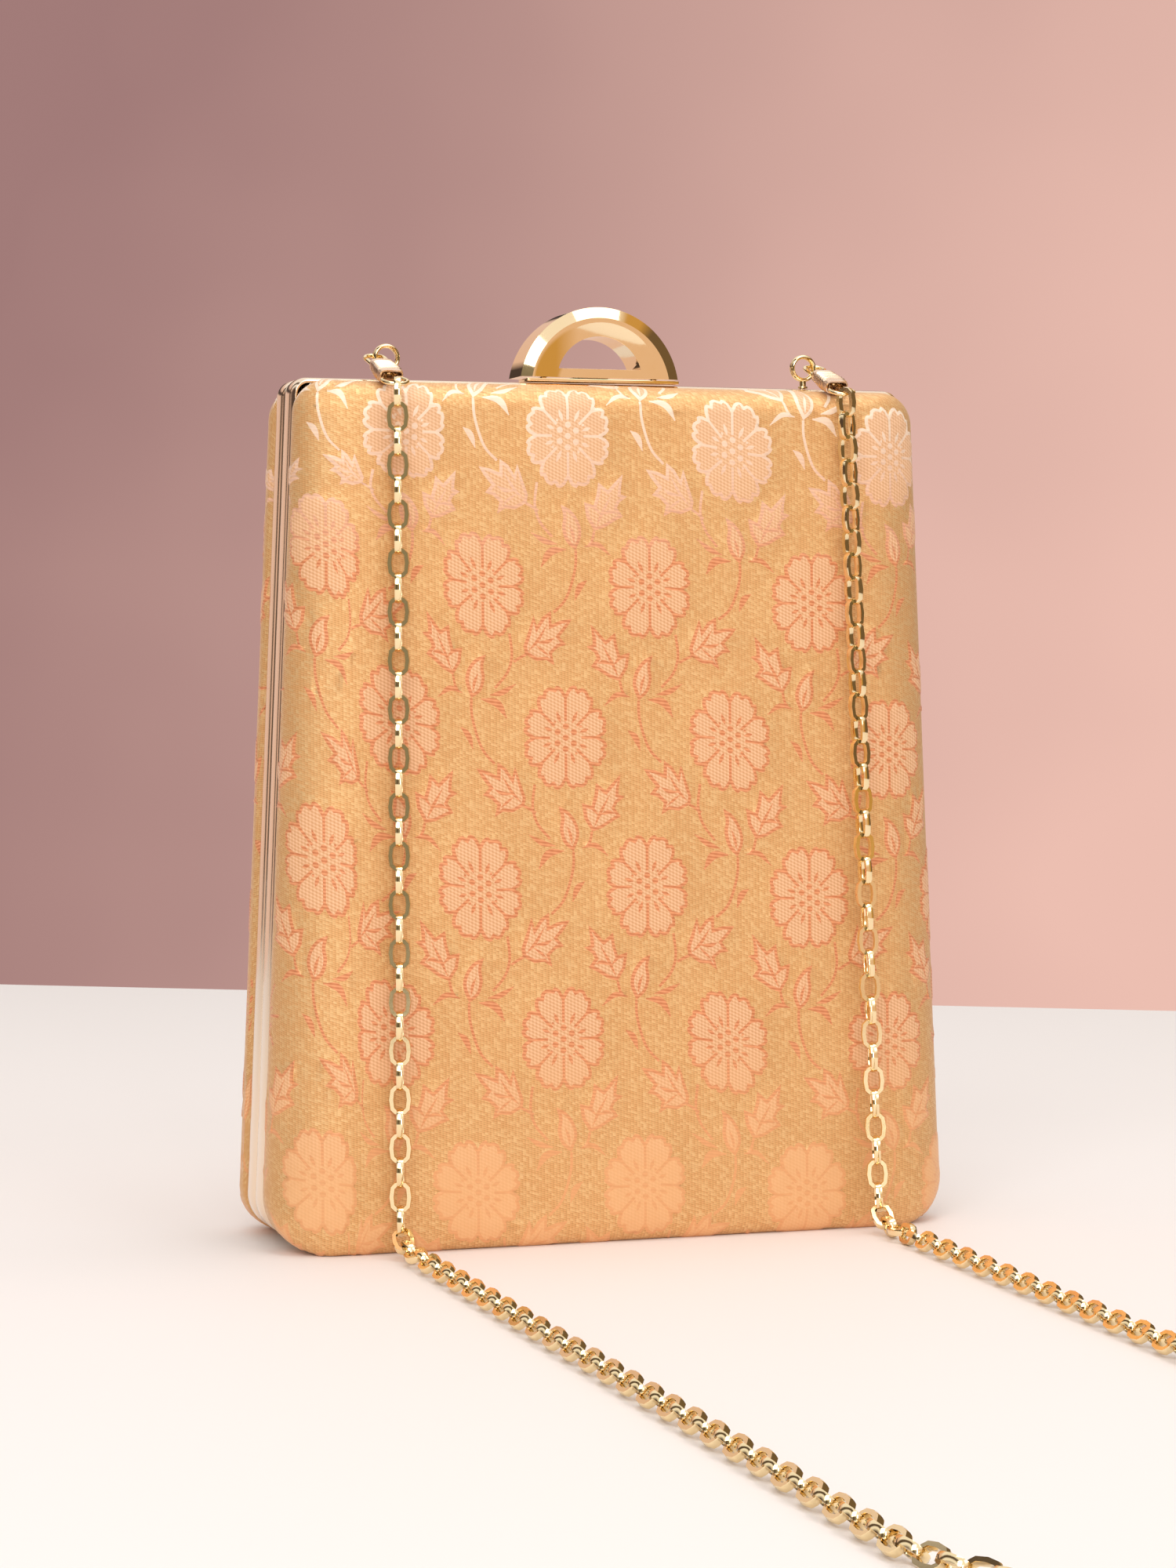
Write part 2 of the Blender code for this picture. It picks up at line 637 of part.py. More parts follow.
def sleeve(side_name, side):
    """Folded sheet tube that tapers toward the chain, open at both ends."""
    built = bmesh.new()
    rings = []
    for along, half in ((SLEEVE_START, SLEEVE_WIDE_HALF), (SLEEVE_END, SLEEVE_NARROW_HALF)):
        corners = []
        chamfer = SLEEVE_WALL
        flat = half - chamfer
        side_height = SLEEVE_HALF_HEIGHT - chamfer
        section = [
            (flat, SLEEVE_HALF_HEIGHT), (half, side_height), (half, -side_height),
            (flat, -SLEEVE_HALF_HEIGHT), (-flat, -SLEEVE_HALF_HEIGHT), (-half, -side_height),
            (-half, side_height), (-flat, SLEEVE_HALF_HEIGHT)]
        for across, lift in section:
            corners.append(built.verts.new(hook_point(side, along, across, lift)))
        rings.append(corners)
    count = len(rings[0])
    for index in range(count):
        after = (index + 1) % count
        built.faces.new((rings[0][index], rings[0][after], rings[1][after], rings[1][index]))
    middle = hook_point(side, (SLEEVE_START + SLEEVE_END) / 2, 0.0)
    first = built.faces[:][0]
    if first.normal.length == 0.0:
        built.normal_update()
    if first.normal.dot(first.calc_center_median() - middle) < 0.0:
        bmesh.ops.reverse_faces(built, faces=built.faces)
    mesh = bpy.data.meshes.new("sleeve")
    built.to_mesh(mesh)
    built.free()
    thickened(place(mesh, "hook_sleeve_" + side_name, "chain_gold"), SLEEVE_WALL)


def chain_ring(side_name, side):
    """Wire loop that leaves the sleeve's open end and carries the first link."""
    neck_end = SLEEVE_END + RING_WIRE_RADIUS
    route = [(RING_START, -RING_NECK_HALF_WIDTH), (neck_end, -RING_NECK_HALF_WIDTH)]
    centre = RING_END - RING_HALF_WIDTH
    for step in range(9):
        angle = math.pi * step / 8
        route.append((
            centre + RING_HALF_WIDTH * math.sin(angle),
            -RING_HALF_WIDTH * math.cos(angle)))
    route += [(neck_end, RING_NECK_HALF_WIDTH), (RING_START, RING_NECK_HALF_WIDTH)]
    points = [hook_point(side, along, across) for along, across in route]
    mesh = wire_mesh(points, RING_WIRE_RADIUS, cyclic=True)
    smooth(place(mesh, "hook_ring_" + side_name, "chain_gold"))


def hook_side(side_name, side):
    eye(side_name, side)
    hook_wire(side_name, side)
    gate(side_name, side)
    sleeve(side_name, side)
    chain_ring(side_name, side)


# Chain strap

# Links of one stretch are joined where their end bars cross; links of two stretches stay free
LINK_BITE = 2 * LINK_END_BAR - (LINK_LENGTH - LINK_PITCH)
STRETCH_SLACK = LINK_BITE + CLEARANCE


def drop_top(side, foot):
    """Start of the first link's pitch, so that its end bar hangs just over its wire loop."""
    loop_bar = hook_point(side, RING_END, 0.0)
    down = (foot - loop_bar).normalized()
    bars_apart = LINK_END_BAR / 2 + RING_WIRE_RADIUS + CLEARANCE
    overhang = (LINK_LENGTH - LINK_PITCH - LINK_END_BAR) / 2
    return loop_bar - down * (bars_apart - overhang)


def filleted(before, corner, after, radius, steps=8):
    """Points of an arc that rounds the corner of a route in space."""
    back = (before - corner).normalized()
    onward = (after - corner).normalized()
    opening = back.angle(onward)
    reach = radius / math.tan(opening / 2)
    centre = corner + (back + onward).normalized() * radius / math.sin(opening / 2)
    start = corner + back * reach - centre
    end = corner + onward * reach - centre
    sweep = start.angle(end)
    points = []
    for step in range(steps + 1):
        share = step / steps
        arc = start * math.sin(sweep * (1 - share)) + end * math.sin(sweep * share)
        points.append(centre + arc / math.sin(sweep))
    return points


def chain_route():
    """Dense polyline of the strap, and the lengths at which its stretches end."""
    lift = Vector((0.0, 0.0, CHAIN_FLOOR_HEIGHT))
    left_foot = LEFT_TABLE_POINT + lift
    right_foot = RIGHT_TABLE_POINT + lift
    left_bend = LEFT_BEND_POINT + lift
    right_bend = RIGHT_BEND_POINT + lift
    left_top = drop_top(-1, left_foot)
    right_top = drop_top(1, right_foot)
    left_arc = filleted(left_top, left_foot, left_bend, CHAIN_CORNER_RADIUS)
    right_arc = filleted(right_bend, right_foot, right_top, CHAIN_CORNER_RADIUS)
    bend_centre = (left_bend + right_bend) / 2
    bend_radius = (right_bend - left_bend).length / 2
    bend = []
    for step in range(1, 48):
        angle = math.pi * step / 48
        bend.append(bend_centre + bend_radius * Vector((-math.cos(angle), -math.sin(angle), 0.0)))
    points = [left_top] + left_arc + [left_bend] + bend + [right_bend] + right_arc + [right_top]
    lengths = [0.0]
    for first, second in zip(points, points[1:]):
        lengths.append(lengths[-1] + (second - first).length)
    at_left_run = lengths[len(left_arc)]
    at_bend = lengths[len(left_arc) + 1]
    at_right_run = lengths[len(left_arc) + 2 + len(bend)]
    at_right_drop = lengths[len(left_arc) + 3 + len(bend)]
    ends = [at_left_run, at_bend, at_right_run, at_right_drop, lengths[-1]]
    return points, lengths, ends


def route_point(points, lengths, distance):
    for index in range(1, len(lengths)):
        if distance <= lengths[index] or index == len(lengths) - 1:
            span = lengths[index] - lengths[index - 1]
            share = (distance - lengths[index - 1]) / span
            return points[index - 1].lerp(points[index], share)
    return points[-1]


def eased(share):
    share = min(max(share, 0.0), 1.0)
    return share * share * (3.0 - 2.0 * share)


def link_roll(distance, ends):
    """Turn of the links about the chain's own line at a distance along the strap."""
    left_run, _, _, right_drop, total = ends
    if distance < (left_run + right_drop) / 2:
        return blend(LEFT_DROP_ROLL, TABLE_ROLL, eased((distance - left_run) / ROLL_BLEND))
    if distance < right_drop:
        return blend(TABLE_ROLL, RIGHT_DROP_ROLL, eased(1.0 - (right_drop - distance) / ROLL_BLEND))
    return blend(RIGHT_DROP_ROLL, RIGHT_TOP_ROLL, eased((distance - right_drop) / (total - right_drop)))


def link_mesh():
    """Four-cornered link at the origin, long in X and flat in Z."""
    mitre = math.sqrt(0.5)
    scale = Vector((
        LINK_END_BAR / (2 * mitre), LINK_SIDE_BAR / (2 * mitre), LINK_THICKNESS / 2))
    half_x = (LINK_LENGTH - LINK_END_BAR) / 2 / scale.x
    half_y = (LINK_WIDTH - LINK_SIDE_BAR) / 2 / scale.y
    corners = [(-half_x, -half_y, 0), (half_x, -half_y, 0), (half_x, half_y, 0), (-half_x, half_y, 0)]
    mesh = wire_mesh(corners, 1.0, cyclic=True, sides_resolution=0)
    mesh.transform(Matrix.Diagonal((*scale, 1.0)))
    return mesh


def link_places(points, lengths, ends):
    """A list for each stretch of the matrices that put the links in place."""
    joins = len(ends) - 1
    free = lengths[-1] + joins * STRETCH_SLACK
    count = round(free / LINK_PITCH)
    if count % 2 == 0:
        count += 1
    pitch = free / count
    stretches = [[] for _ in ends]
    start = 0.0
    current = 0
    for index in range(count):
        stretch = min(sum(1 for end in ends if start + pitch / 2 > end), joins)
        if stretch != current:
            start -= STRETCH_SLACK
            current = stretch
        near = route_point(points, lengths, start)
        far = route_point(points, lengths, start + pitch)
        along = (far - near).normalized()
        before = route_point(points, lengths, max(start - pitch, 0.0))
        heading = Vector((far.x - before.x, far.y - before.y, 0.0))
        if abs(along.z) > 0.3:
            heading = Vector((0.0, -1.0 if current < 2 else 1.0, 0.0))
        side = heading.normalized().cross(Vector((0.0, 0.0, 1.0)))
        flat = side.cross(along).normalized()
        side = along.cross(flat)
        roll = link_roll(start + pitch / 2, ends) + (math.pi / 2 if index % 2 == 0 else 0.0)
        flat = flat * math.cos(roll) + side * math.sin(roll)
        side = along.cross(flat)
        turn = Matrix((along, -side, flat)).transposed().to_4x4()
        stretches[current].append(Matrix.Translation((near + far) / 2) @ turn)
        start += pitch
    return stretches


def joined_links(link, matrices):
    built = bmesh.new()
    for matrix in matrices:
        copy = link.copy()
        copy.transform(matrix)
        built.from_mesh(copy)
        bpy.data.meshes.remove(copy)
    mesh = bpy.data.meshes.new("links")
    built.to_mesh(mesh)
    built.free()
    return mesh


def chain():
    points, lengths, ends = chain_route()
    stretches = link_places(points, lengths, ends)
    names = ["drop_left", "run_left", "bend", "run_right", "drop_right"]
    link = link_mesh()
    for name, matrices in zip(names, stretches):
        odd = joined_links(link, matrices[0::2])
        even = joined_links(link, matrices[1::2])
        place(combined(odd, [even], "UNION"), "chain_" + name, "chain_gold")


moulded_half("front", -1)
moulded_half("back", 1)
hinge("left", -HINGE_X)
hinge("right", HINGE_X)
clasp()
hook_side("left", -1)
hook_side("right", 1)
chain()
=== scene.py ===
# %% [markdown]
# # A hard box clutch bag
#
# The bag is a box of two moulded halves, each covered in floral brocade and edged by a gilt metal
# frame. It has an arch clasp on top and a chain strap on spring hooks. Every cell below makes one
# piece or one finish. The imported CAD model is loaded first, because each new piece stands for one
# of its nodes and has to sit exactly where that node does.

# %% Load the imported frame
import math

import bmesh
import bpy
import numpy as np
from mathutils import Matrix, Vector
from mathutils.bvhtree import BVHTree
from mathutils.geometry import barycentric_transform, delaunay_2d_cdt


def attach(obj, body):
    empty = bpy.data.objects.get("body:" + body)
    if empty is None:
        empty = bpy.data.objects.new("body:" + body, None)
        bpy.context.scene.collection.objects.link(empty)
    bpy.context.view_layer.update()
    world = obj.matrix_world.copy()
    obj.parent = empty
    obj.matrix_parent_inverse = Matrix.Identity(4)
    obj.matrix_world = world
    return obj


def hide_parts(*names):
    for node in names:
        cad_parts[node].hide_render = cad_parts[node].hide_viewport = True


MM = 0.001
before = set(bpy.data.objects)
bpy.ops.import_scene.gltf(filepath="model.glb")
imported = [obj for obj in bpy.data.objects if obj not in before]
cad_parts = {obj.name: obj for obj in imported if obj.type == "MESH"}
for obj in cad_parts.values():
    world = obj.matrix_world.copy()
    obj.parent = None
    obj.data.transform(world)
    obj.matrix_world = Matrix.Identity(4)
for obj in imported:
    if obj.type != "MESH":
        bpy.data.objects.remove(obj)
bpy.ops.object.select_all(action="DESELECT")
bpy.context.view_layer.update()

# %% [markdown]
# ## Camera
#
# The bag is looked at from its left, 18 degrees round, from a little above its middle and a little
# downward, through a long lens. Set first, the camera stays as it is.

# %% Camera
CAMERA_PLACE = Vector((-249.2, -758.0, 132.5))
CAMERA_ROUND = 18.11
CAMERA_DOWN = 2.31
SENSOR_WIDTH = 36.0
LENS = 81.0

camera_data = bpy.data.cameras.new("camera")
camera_data.sensor_width = SENSOR_WIDTH
camera_data.lens = LENS
camera_data.clip_start = 0.01
camera = bpy.data.objects.new("camera", camera_data)
camera.location = CAMERA_PLACE * MM
camera.rotation_euler = (math.radians(90.0 - CAMERA_DOWN), 0.0, math.radians(-CAMERA_ROUND))
bpy.context.scene.collection.objects.link(camera)
bpy.context.scene.camera = camera
print("camera at", CAMERA_PLACE[:], "mm, lens", LENS)

# %% [markdown]
# ## Helpers for objects
#
# Each new piece ends as one mesh object at the origin, smooth where it should be, riding on its
# body and standing for its CAD nodes. These few functions do the bookkeeping for all of them.

# %% Object helpers
def only(piece):
    """Select one object alone and make it active."""
    bpy.ops.object.select_all(action="DESELECT")
    piece.select_set(True)
    bpy.context.view_layer.objects.active = piece


def apply_all(piece):
    """Apply every modifier and the object's place, so that the mesh alone holds the shape."""
    only(piece)
    for modifier in list(piece.modifiers):
        bpy.ops.object.modifier_apply(modifier=modifier.name)
    bpy.ops.object.transform_apply(location=True, rotation=True, scale=True)
    piece.select_set(False)


def new_object(mesh, name="piece"):
    made = bpy.data.objects.new(name, mesh)
    bpy.context.scene.collection.objects.link(made)
    return made


def object_from(built):
    """Turn a finished bmesh into an object."""
    mesh = bpy.data.meshes.new("piece")
    built.to_mesh(mesh)
    built.free()
    return new_object(mesh)


def joined(pieces):
    """One object out of several."""
    only(pieces[0])
    for piece in pieces:
        piece.select_set(True)
    bpy.ops.object.join()
    pieces[0].select_set(False)
    return pieces[0]


def smooth(piece, degrees=35.0):
    """Smooth shading, except at edges sharper than an angle."""
    piece.data.shade_smooth()
    piece.data.set_sharp_from_angle(angle=math.radians(degrees))


def dress(piece, name, body, finish, nodes):
    """Name a finished piece, give it its finish, and let it stand for its CAD nodes."""
    piece.name = name
    piece.data.name = name
    piece.data.materials.clear()
    piece.data.materials.append(finish)
    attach(piece, body)
    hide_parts(*nodes)
    print(name, len(piece.data.polygons), "faces")
    return piece

# %% [markdown]
# ## Helpers for meshes
#
# Faces have to point outwards and seams have to be closed, or light gets in. Long pieces are skins
# drawn through a row of rings. In edit mode, what the next tool works on is chosen by its place or
# by the way that it faces.

# %% Mesh helpers
WELD_DISTANCE = 0.002


def outward(piece):
    """Weld doubles and turn all faces outwards."""
    mesh = bmesh.new()
    mesh.from_mesh(piece.data)
    bmesh.ops.remove_doubles(mesh, verts=mesh.verts, dist=WELD_DISTANCE * MM)
    bmesh.ops.recalc_face_normals(mesh, faces=mesh.faces)
    mesh.to_mesh(piece.data)
    mesh.free()


def lofted(rings, capped):
    """A skin through rings of points in millimetres, with or without a face over either end."""
    built = bmesh.new()
    levels = [[built.verts.new(point * MM) for point in ring] for ring in rings]
    count = len(levels[0])
    for near, far in zip(levels, levels[1:]):
        for index in range(count):
            after = (index + 1) % count
            built.faces.new((near[index], near[after], far[after], far[index]))
    if capped:
        built.faces.new(levels[0])
        built.faces.new(levels[-1])
    return built


def select_where(piece, test, kind="VERT"):
    """In edit mode, select vertices by their place, or faces by their centre and normal."""
    bpy.ops.mesh.select_mode(type=kind)
    bpy.ops.mesh.select_all(action="DESELECT")
    mesh = bmesh.from_edit_mesh(piece.data)
    if kind == "VERT":
        for vert in mesh.verts:
            vert.select = test(vert.co)
    else:
        for face in mesh.faces:
            face.select = test(face.calc_center_median(), face.normal)
    mesh.select_flush_mode()
    bmesh.update_edit_mesh(piece.data)

# %% [markdown]
# ## Helpers for solid metal
#
# Turned and punched parts start as cylinders and blocks. Booleans cut one out of another, as a
# drill or a saw would, and a narrow bevel breaks the edges, because no real edge is quite sharp.

# %% Solid helpers
def cut_by(piece, cutter, operation="DIFFERENCE"):
    """Cut one object with another, or weld it on, and remove the cutter."""
    change = piece.modifiers.new("cut", "BOOLEAN")
    change.operation = operation
    change.object = cutter
    only(piece)
    bpy.ops.object.modifier_apply(modifier=change.name)
    bpy.data.objects.remove(cutter, do_unlink=True)


def cylinder(radius, length, centre, axis="Z", vertices=48):
    """Cylinder about a centre, along an axis, in millimetres."""
    turns = {"X": (0.0, math.pi / 2, 0.0), "Y": (math.pi / 2, 0.0, 0.0), "Z": (0.0, 0.0, 0.0)}
    bpy.ops.mesh.primitive_cylinder_add(
        vertices=vertices, radius=radius * MM, depth=length * MM, location=Vector(centre) * MM,
        rotation=turns[axis])
    made = bpy.context.active_object
    bpy.ops.object.transform_apply(location=True, rotation=True, scale=True)
    return made


def block(low, high):
    """Box between two corners, in millimetres."""
    centre = (Vector(low) + Vector(high)) / 2
    bpy.ops.mesh.primitive_cube_add(size=1.0, location=centre * MM)
    made = bpy.context.active_object
    made.scale = (Vector(high) - Vector(low)) * MM
    bpy.ops.object.transform_apply(location=True, rotation=True, scale=True)
    return made


def soften(piece, width, segments=2, degrees=30.0):
    """Break the edges that are sharper than an angle, and apply all modifiers."""
    edge = piece.modifiers.new("edge", "BEVEL")
    edge.width = width * MM
    edge.segments = segments
    edge.limit_method = "ANGLE"
    edge.angle_limit = math.radians(degrees)
    apply_all(piece)

# %% [markdown]
# ## Helpers for shaders
#
# Finishes are sums of noise, waves and colour mixes. With one short function for each kind of node,
# a finish can be read as a recipe instead of as wiring.

# %% Node helpers
def new_group(name, inputs, outputs):
    group = bpy.data.node_groups.new(name, "ShaderNodeTree")
    for label, kind, value in inputs:
        made = group.interface.new_socket(name=label, in_out="INPUT", socket_type=kind)
        if value is not None:
            made.default_value = value
    for label, kind in outputs:
        group.interface.new_socket(name=label, in_out="OUTPUT", socket_type=kind)
    return group, group.nodes.new("NodeGroupInput"), group.nodes.new("NodeGroupOutput")


def maths(tree, operation, first, second=None, third=None):
    """A Math node; each argument is a socket or a number."""
    node = tree.nodes.new("ShaderNodeMath")
    node.operation = operation
    for socket, value in zip(node.inputs, (first, second, third)):
        if value is None:
            continue
        if isinstance(value, (int, float)):
            socket.default_value = value
        else:
            tree.links.new(value, socket)
    return node.outputs[0]


def noise(tree, vector, scale, detail=2.0, roughness=0.5):
    node = tree.nodes.new("ShaderNodeTexNoise")
    node.inputs["Scale"].default_value = scale
    node.inputs["Detail"].default_value = detail
    node.inputs["Roughness"].default_value = roughness
    tree.links.new(vector, node.inputs["Vector"])
    return node.outputs["Fac"]


def mixed(tree, share, first, second):
    """A colour mix; each colour is a socket or three numbers."""
    node = tree.nodes.new("ShaderNodeMix")
    node.data_type = "RGBA"
    if isinstance(share, (int, float)):
        node.inputs["Factor"].default_value = share
    else:
        tree.links.new(share, node.inputs["Factor"])
    for label, value in (("A", first), ("B", second)):
        socket = [s for s in node.inputs if s.name == label and s.type == "RGBA"][0]
        if isinstance(value, tuple):
            socket.default_value = (*value, 1.0)
        else:
            tree.links.new(value, socket)
    return [s for s in node.outputs if s.type == "RGBA"][0]


def multiplied(tree, first, second):
    """Two colours multiplied."""
    product = mixed(tree, 1.0, first, second)
    product.node.blend_type = "MULTIPLY"
    return product


def ranged(tree, value, low, high, out_low, out_high):
    node = tree.nodes.new("ShaderNodeMapRange")
    node.inputs["From Min"].default_value = low
    node.inputs["From Max"].default_value = high
    node.inputs["To Min"].default_value = out_low
    node.inputs["To Max"].default_value = out_high
    tree.links.new(value, node.inputs["Value"])
    return node.outputs["Result"]


def bump(tree, height, strength, distance, normal=None):
    node = tree.nodes.new("ShaderNodeBump")
    node.inputs["Strength"].default_value = strength
    node.inputs["Distance"].default_value = distance
    tree.links.new(height, node.inputs["Height"])
    if normal is not None:
        tree.links.new(normal, node.inputs["Normal"])
    return node.outputs["Normal"]


def new_material(name):
    material = bpy.data.materials.new(name)
    material.use_nodes = True
    tree = material.node_tree
    return material, tree, tree.nodes["Principled BSDF"]


def object_vector(tree):
    return tree.nodes.new("ShaderNodeTexCoord").outputs["Object"]

# %% [markdown]
# ## Threads and drift
#
# Two small groups carry what several finishes share. Woven threads are two sets of fine waves that
# cross each other, with a random strength for each crossing. Drift is slow, cloudy variation. Both
# give numbers only; the materials decide what those do.

# %% Thread and drift groups
def threads_group():
    """Height of fine threads, floats across X and ties along Y, and a random glint for each."""
    group, given, result = new_group(
        "woven_threads",
        [("Vector", "NodeSocketVector", None), ("Threads X", "NodeSocketFloat", 20.0),
         ("Threads Y", "NodeSocketFloat", 20.0), ("Slant", "NodeSocketFloat", 0.0),
         ("Rows", "NodeSocketFloat", 0.55)],
        [("Height", "NodeSocketFloat"), ("Glint", "NodeSocketFloat")])
    parts = group.nodes.new("ShaderNodeSeparateXYZ")
    group.links.new(given.outputs["Vector"], parts.inputs[0])
    across = maths(group, "MULTIPLY", parts.outputs["X"], given.outputs["Threads X"])
    along = maths(group, "MULTIPLY", parts.outputs["Y"], given.outputs["Threads Y"])
    along = maths(group, "MULTIPLY_ADD", across, given.outputs["Slant"], along)
    wave_x = maths(group, "SINE", maths(group, "MULTIPLY", across, 2 * math.pi))
    wave_y = maths(group, "SINE", maths(group, "MULTIPLY", along, 2 * math.pi))
    rows = given.outputs["Rows"]
    columns = maths(group, "MULTIPLY", wave_x, maths(group, "SUBTRACT", 1.0, rows))
    crossed = maths(group, "MULTIPLY_ADD", wave_y, rows, columns)
    height = maths(group, "MULTIPLY_ADD", crossed, 0.5, 0.5)
    cell = group.nodes.new("ShaderNodeCombineXYZ")
    group.links.new(maths(group, "FLOOR", across), cell.inputs["X"])
    group.links.new(maths(group, "FLOOR", along), cell.inputs["Y"])
    chance = group.nodes.new("ShaderNodeTexWhiteNoise")
    chance.noise_dimensions = "2D"
    group.links.new(cell.outputs[0], chance.inputs["Vector"])
    group.links.new(height, result.inputs["Height"])
    group.links.new(chance.outputs["Value"], result.inputs["Glint"])
    return group


def drift_group():
    """Cloudy variation between 0 and 1, at two sizes."""
    group, given, result = new_group(
        "drift",
        [("Vector", "NodeSocketVector", None), ("Broad", "NodeSocketFloat", 20.0),
         ("Fine", "NodeSocketFloat", 120.0)],
        [("Value", "NodeSocketFloat")])
    values = []
    for label in ("Broad", "Fine"):
        node = group.nodes.new("ShaderNodeTexNoise")
        node.inputs["Detail"].default_value = 2.0
        group.links.new(given.outputs["Vector"], node.inputs["Vector"])
        group.links.new(given.outputs[label], node.inputs["Scale"])
        values.append(node.outputs["Fac"])
    both = maths(group, "MULTIPLY_ADD", values[0], 0.65, maths(group, "MULTIPLY", values[1], 0.35))
    group.links.new(both, result.inputs["Value"])
    return group


def placed_group(tree, group, vector, **values):
    node = tree.nodes.new("ShaderNodeGroup")
    node.node_tree = group
    tree.links.new(vector, node.inputs["Vector"])
    for label, value in values.items():
        node.inputs[label.replace("_", " ")].default_value = value
    return node.outputs


THREADS = threads_group()
DRIFT = drift_group()
print("groups", THREADS.name, DRIFT.name)

# %% [markdown]
# ## Colours of the brocade
#
# The cloth has three weaves: a gold lame ground with short metal floats, matt peach motifs with a
# dotted tie-down, and satin outlines. Each has a darker colour between its threads, partly painted
# shade in the hollows of the weave, and a brighter one on them; the floats get painted glints.
# Near the top edge the outlines, and a little the petals, get a painted sheen, and near the foot,
# where the cloth turns under, the motifs get painted shade that dulls them toward one orange; both
# are mixed in by height.

# %% Brocade colours
# Each pair: colour between the threads, partly painted shade in the weave's hollows, then colour on
# them.
LAME = ((0.60, 0.29, 0.098), (0.84, 0.475, 0.20))
PETALS = ((0.68, 0.33, 0.14), (0.93, 0.57, 0.335))
EDGING = ((0.60, 0.19, 0.07), (0.86, 0.37, 0.17))
PAINTED_FLOAT_GLINT = (1.0, 0.76, 0.40)
THREAD_COUNTS = ((140.0, 225.0, 0.5, 0.7), (125.0, 130.0, 0.5, 0.6), (60.0, 130.0, 0.3, 0.85))


def weave_threads(tree, cloth):
    """Threads of the ground, the petals and the outlines, by the counts above, per 100 mm."""
    weaves = []
    for across, along, slant, rows in THREAD_COUNTS:
        weaves.append(placed_group(
            tree, THREADS, cloth, Threads_X=across, Threads_Y=along, Slant=slant, Rows=rows))
    return weaves


def brocade_colour(tree, weaves, glint, in_motif, in_outline):
    """Colour of the cloth from the weaves and masks, with painted sheen at the top, shade at the
    foot.
    """
    lame, dots, satin = weaves
    height_up = tree.nodes.new("ShaderNodeSeparateXYZ")
    tree.links.new(object_vector(tree), height_up.inputs[0])
    # Painted sheen: outlines, and a little the petals, paler from 150 mm up to the top edge.
    painted_sheen_share = ranged(tree, height_up.outputs["Z"], 0.150, 0.183, 0.0, 1.0)
    # Painted shade at the foot, where the cloth turns under: motifs dulled toward one orange below
    # 46 mm.
    painted_foot_shade = ranged(tree, height_up.outputs["Z"], 0.016, 0.046, 0.8, 0.0)
    ground = mixed(tree, lame["Height"], *LAME)
    # Painted glints of the metal floats at random crossings.
    ground = mixed(tree, maths(tree, "MULTIPLY", glint, 0.45), ground, PAINTED_FLOAT_GLINT)
    petal = mixed(tree, dots["Height"], *PETALS)
    petal = mixed(tree, maths(tree, "MULTIPLY", painted_sheen_share, 0.15), petal, (0.92, 0.72, 0.52))
    petal = mixed(tree, painted_foot_shade, petal, (0.86, 0.46, 0.20))
    edging = mixed(tree, satin["Height"], *EDGING)
    edging = mixed(tree, maths(tree, "MULTIPLY", painted_sheen_share, 0.85), edging, (0.97, 0.80, 0.62))
    edging = mixed(tree, painted_foot_shade, edging, (0.83, 0.42, 0.18))
    return mixed(tree, in_outline, mixed(tree, in_motif, ground, petal), edging)

# %% [markdown]
# ## Brocade
#
# The mesh carries which weave each face belongs to, as the attribute called weave, so one material
# can give each its own threads, colour and gloss: the ground is half metal, the motifs nearly none.

# %% Brocade material
def brocade_finish():
    material, tree, shader = new_material("brocade")
    cloth = tree.nodes.new("ShaderNodeUVMap")
    cloth.uv_map = "cloth"
    weave = tree.nodes.new("ShaderNodeAttribute")
    weave.attribute_name = "weave"
    in_motif = maths(tree, "GREATER_THAN", weave.outputs["Fac"], 0.25)
    in_outline = maths(tree, "GREATER_THAN", weave.outputs["Fac"], 0.75)
    weaves = weave_threads(tree, cloth.outputs[0])
    lame, dots, satin = weaves
    glint = maths(tree, "POWER", lame["Glint"], 2.2)
    drift = placed_group(tree, DRIFT, cloth.outputs[0], Broad=4.0, Fine=26.0)["Value"]
    tint = mixed(tree, drift, (0.96, 0.955, 0.945), (1.035, 1.035, 1.045))
    colour = multiplied(tree, brocade_colour(tree, weaves, glint, in_motif, in_outline), tint)
    metal = maths(tree, "MULTIPLY_ADD", in_motif, -0.3, 0.38)
    metal = maths(tree, "MULTIPLY_ADD", glint, 0.2, metal)
    rough = maths(tree, "MULTIPLY_ADD", in_motif, 0.04, 0.5)
    rough = maths(tree, "MULTIPLY_ADD", in_outline, -0.14, rough)
    height = mixed(tree, in_motif, lame["Height"], dots["Height"])
    height = mixed(tree, in_outline, height, satin["Height"])
    relief = bump(tree, height, 0.35, 0.06 * MM, bump(tree, drift, 0.1, 0.4 * MM))
    for label, value in (
            ("Base Color", colour), ("Metallic", metal), ("Roughness", rough), ("Normal", relief)):
        tree.links.new(value, shader.inputs[label])
    shader.inputs["Specular IOR Level"].default_value = 0.4
    shader.inputs["Sheen Weight"].default_value = 0.15
    shader.inputs["Sheen Roughness"].default_value = 0.4
    return material


BROCADE = brocade_finish()
print(BROCADE.name, len(BROCADE.node_tree.nodes), "nodes")

# %% [markdown]
# ## Plating
#
# Frame, clasp and chain are plated in golds that differ a little: a pale champagne, a warm yellow,
# a light lemon gold, and a rosier, duller one on the sleeves. Polished plating is nearly a mirror,
# so what makes it look real is a slight unevenness in its gloss, a very fine ripple, and what it
# reflects.

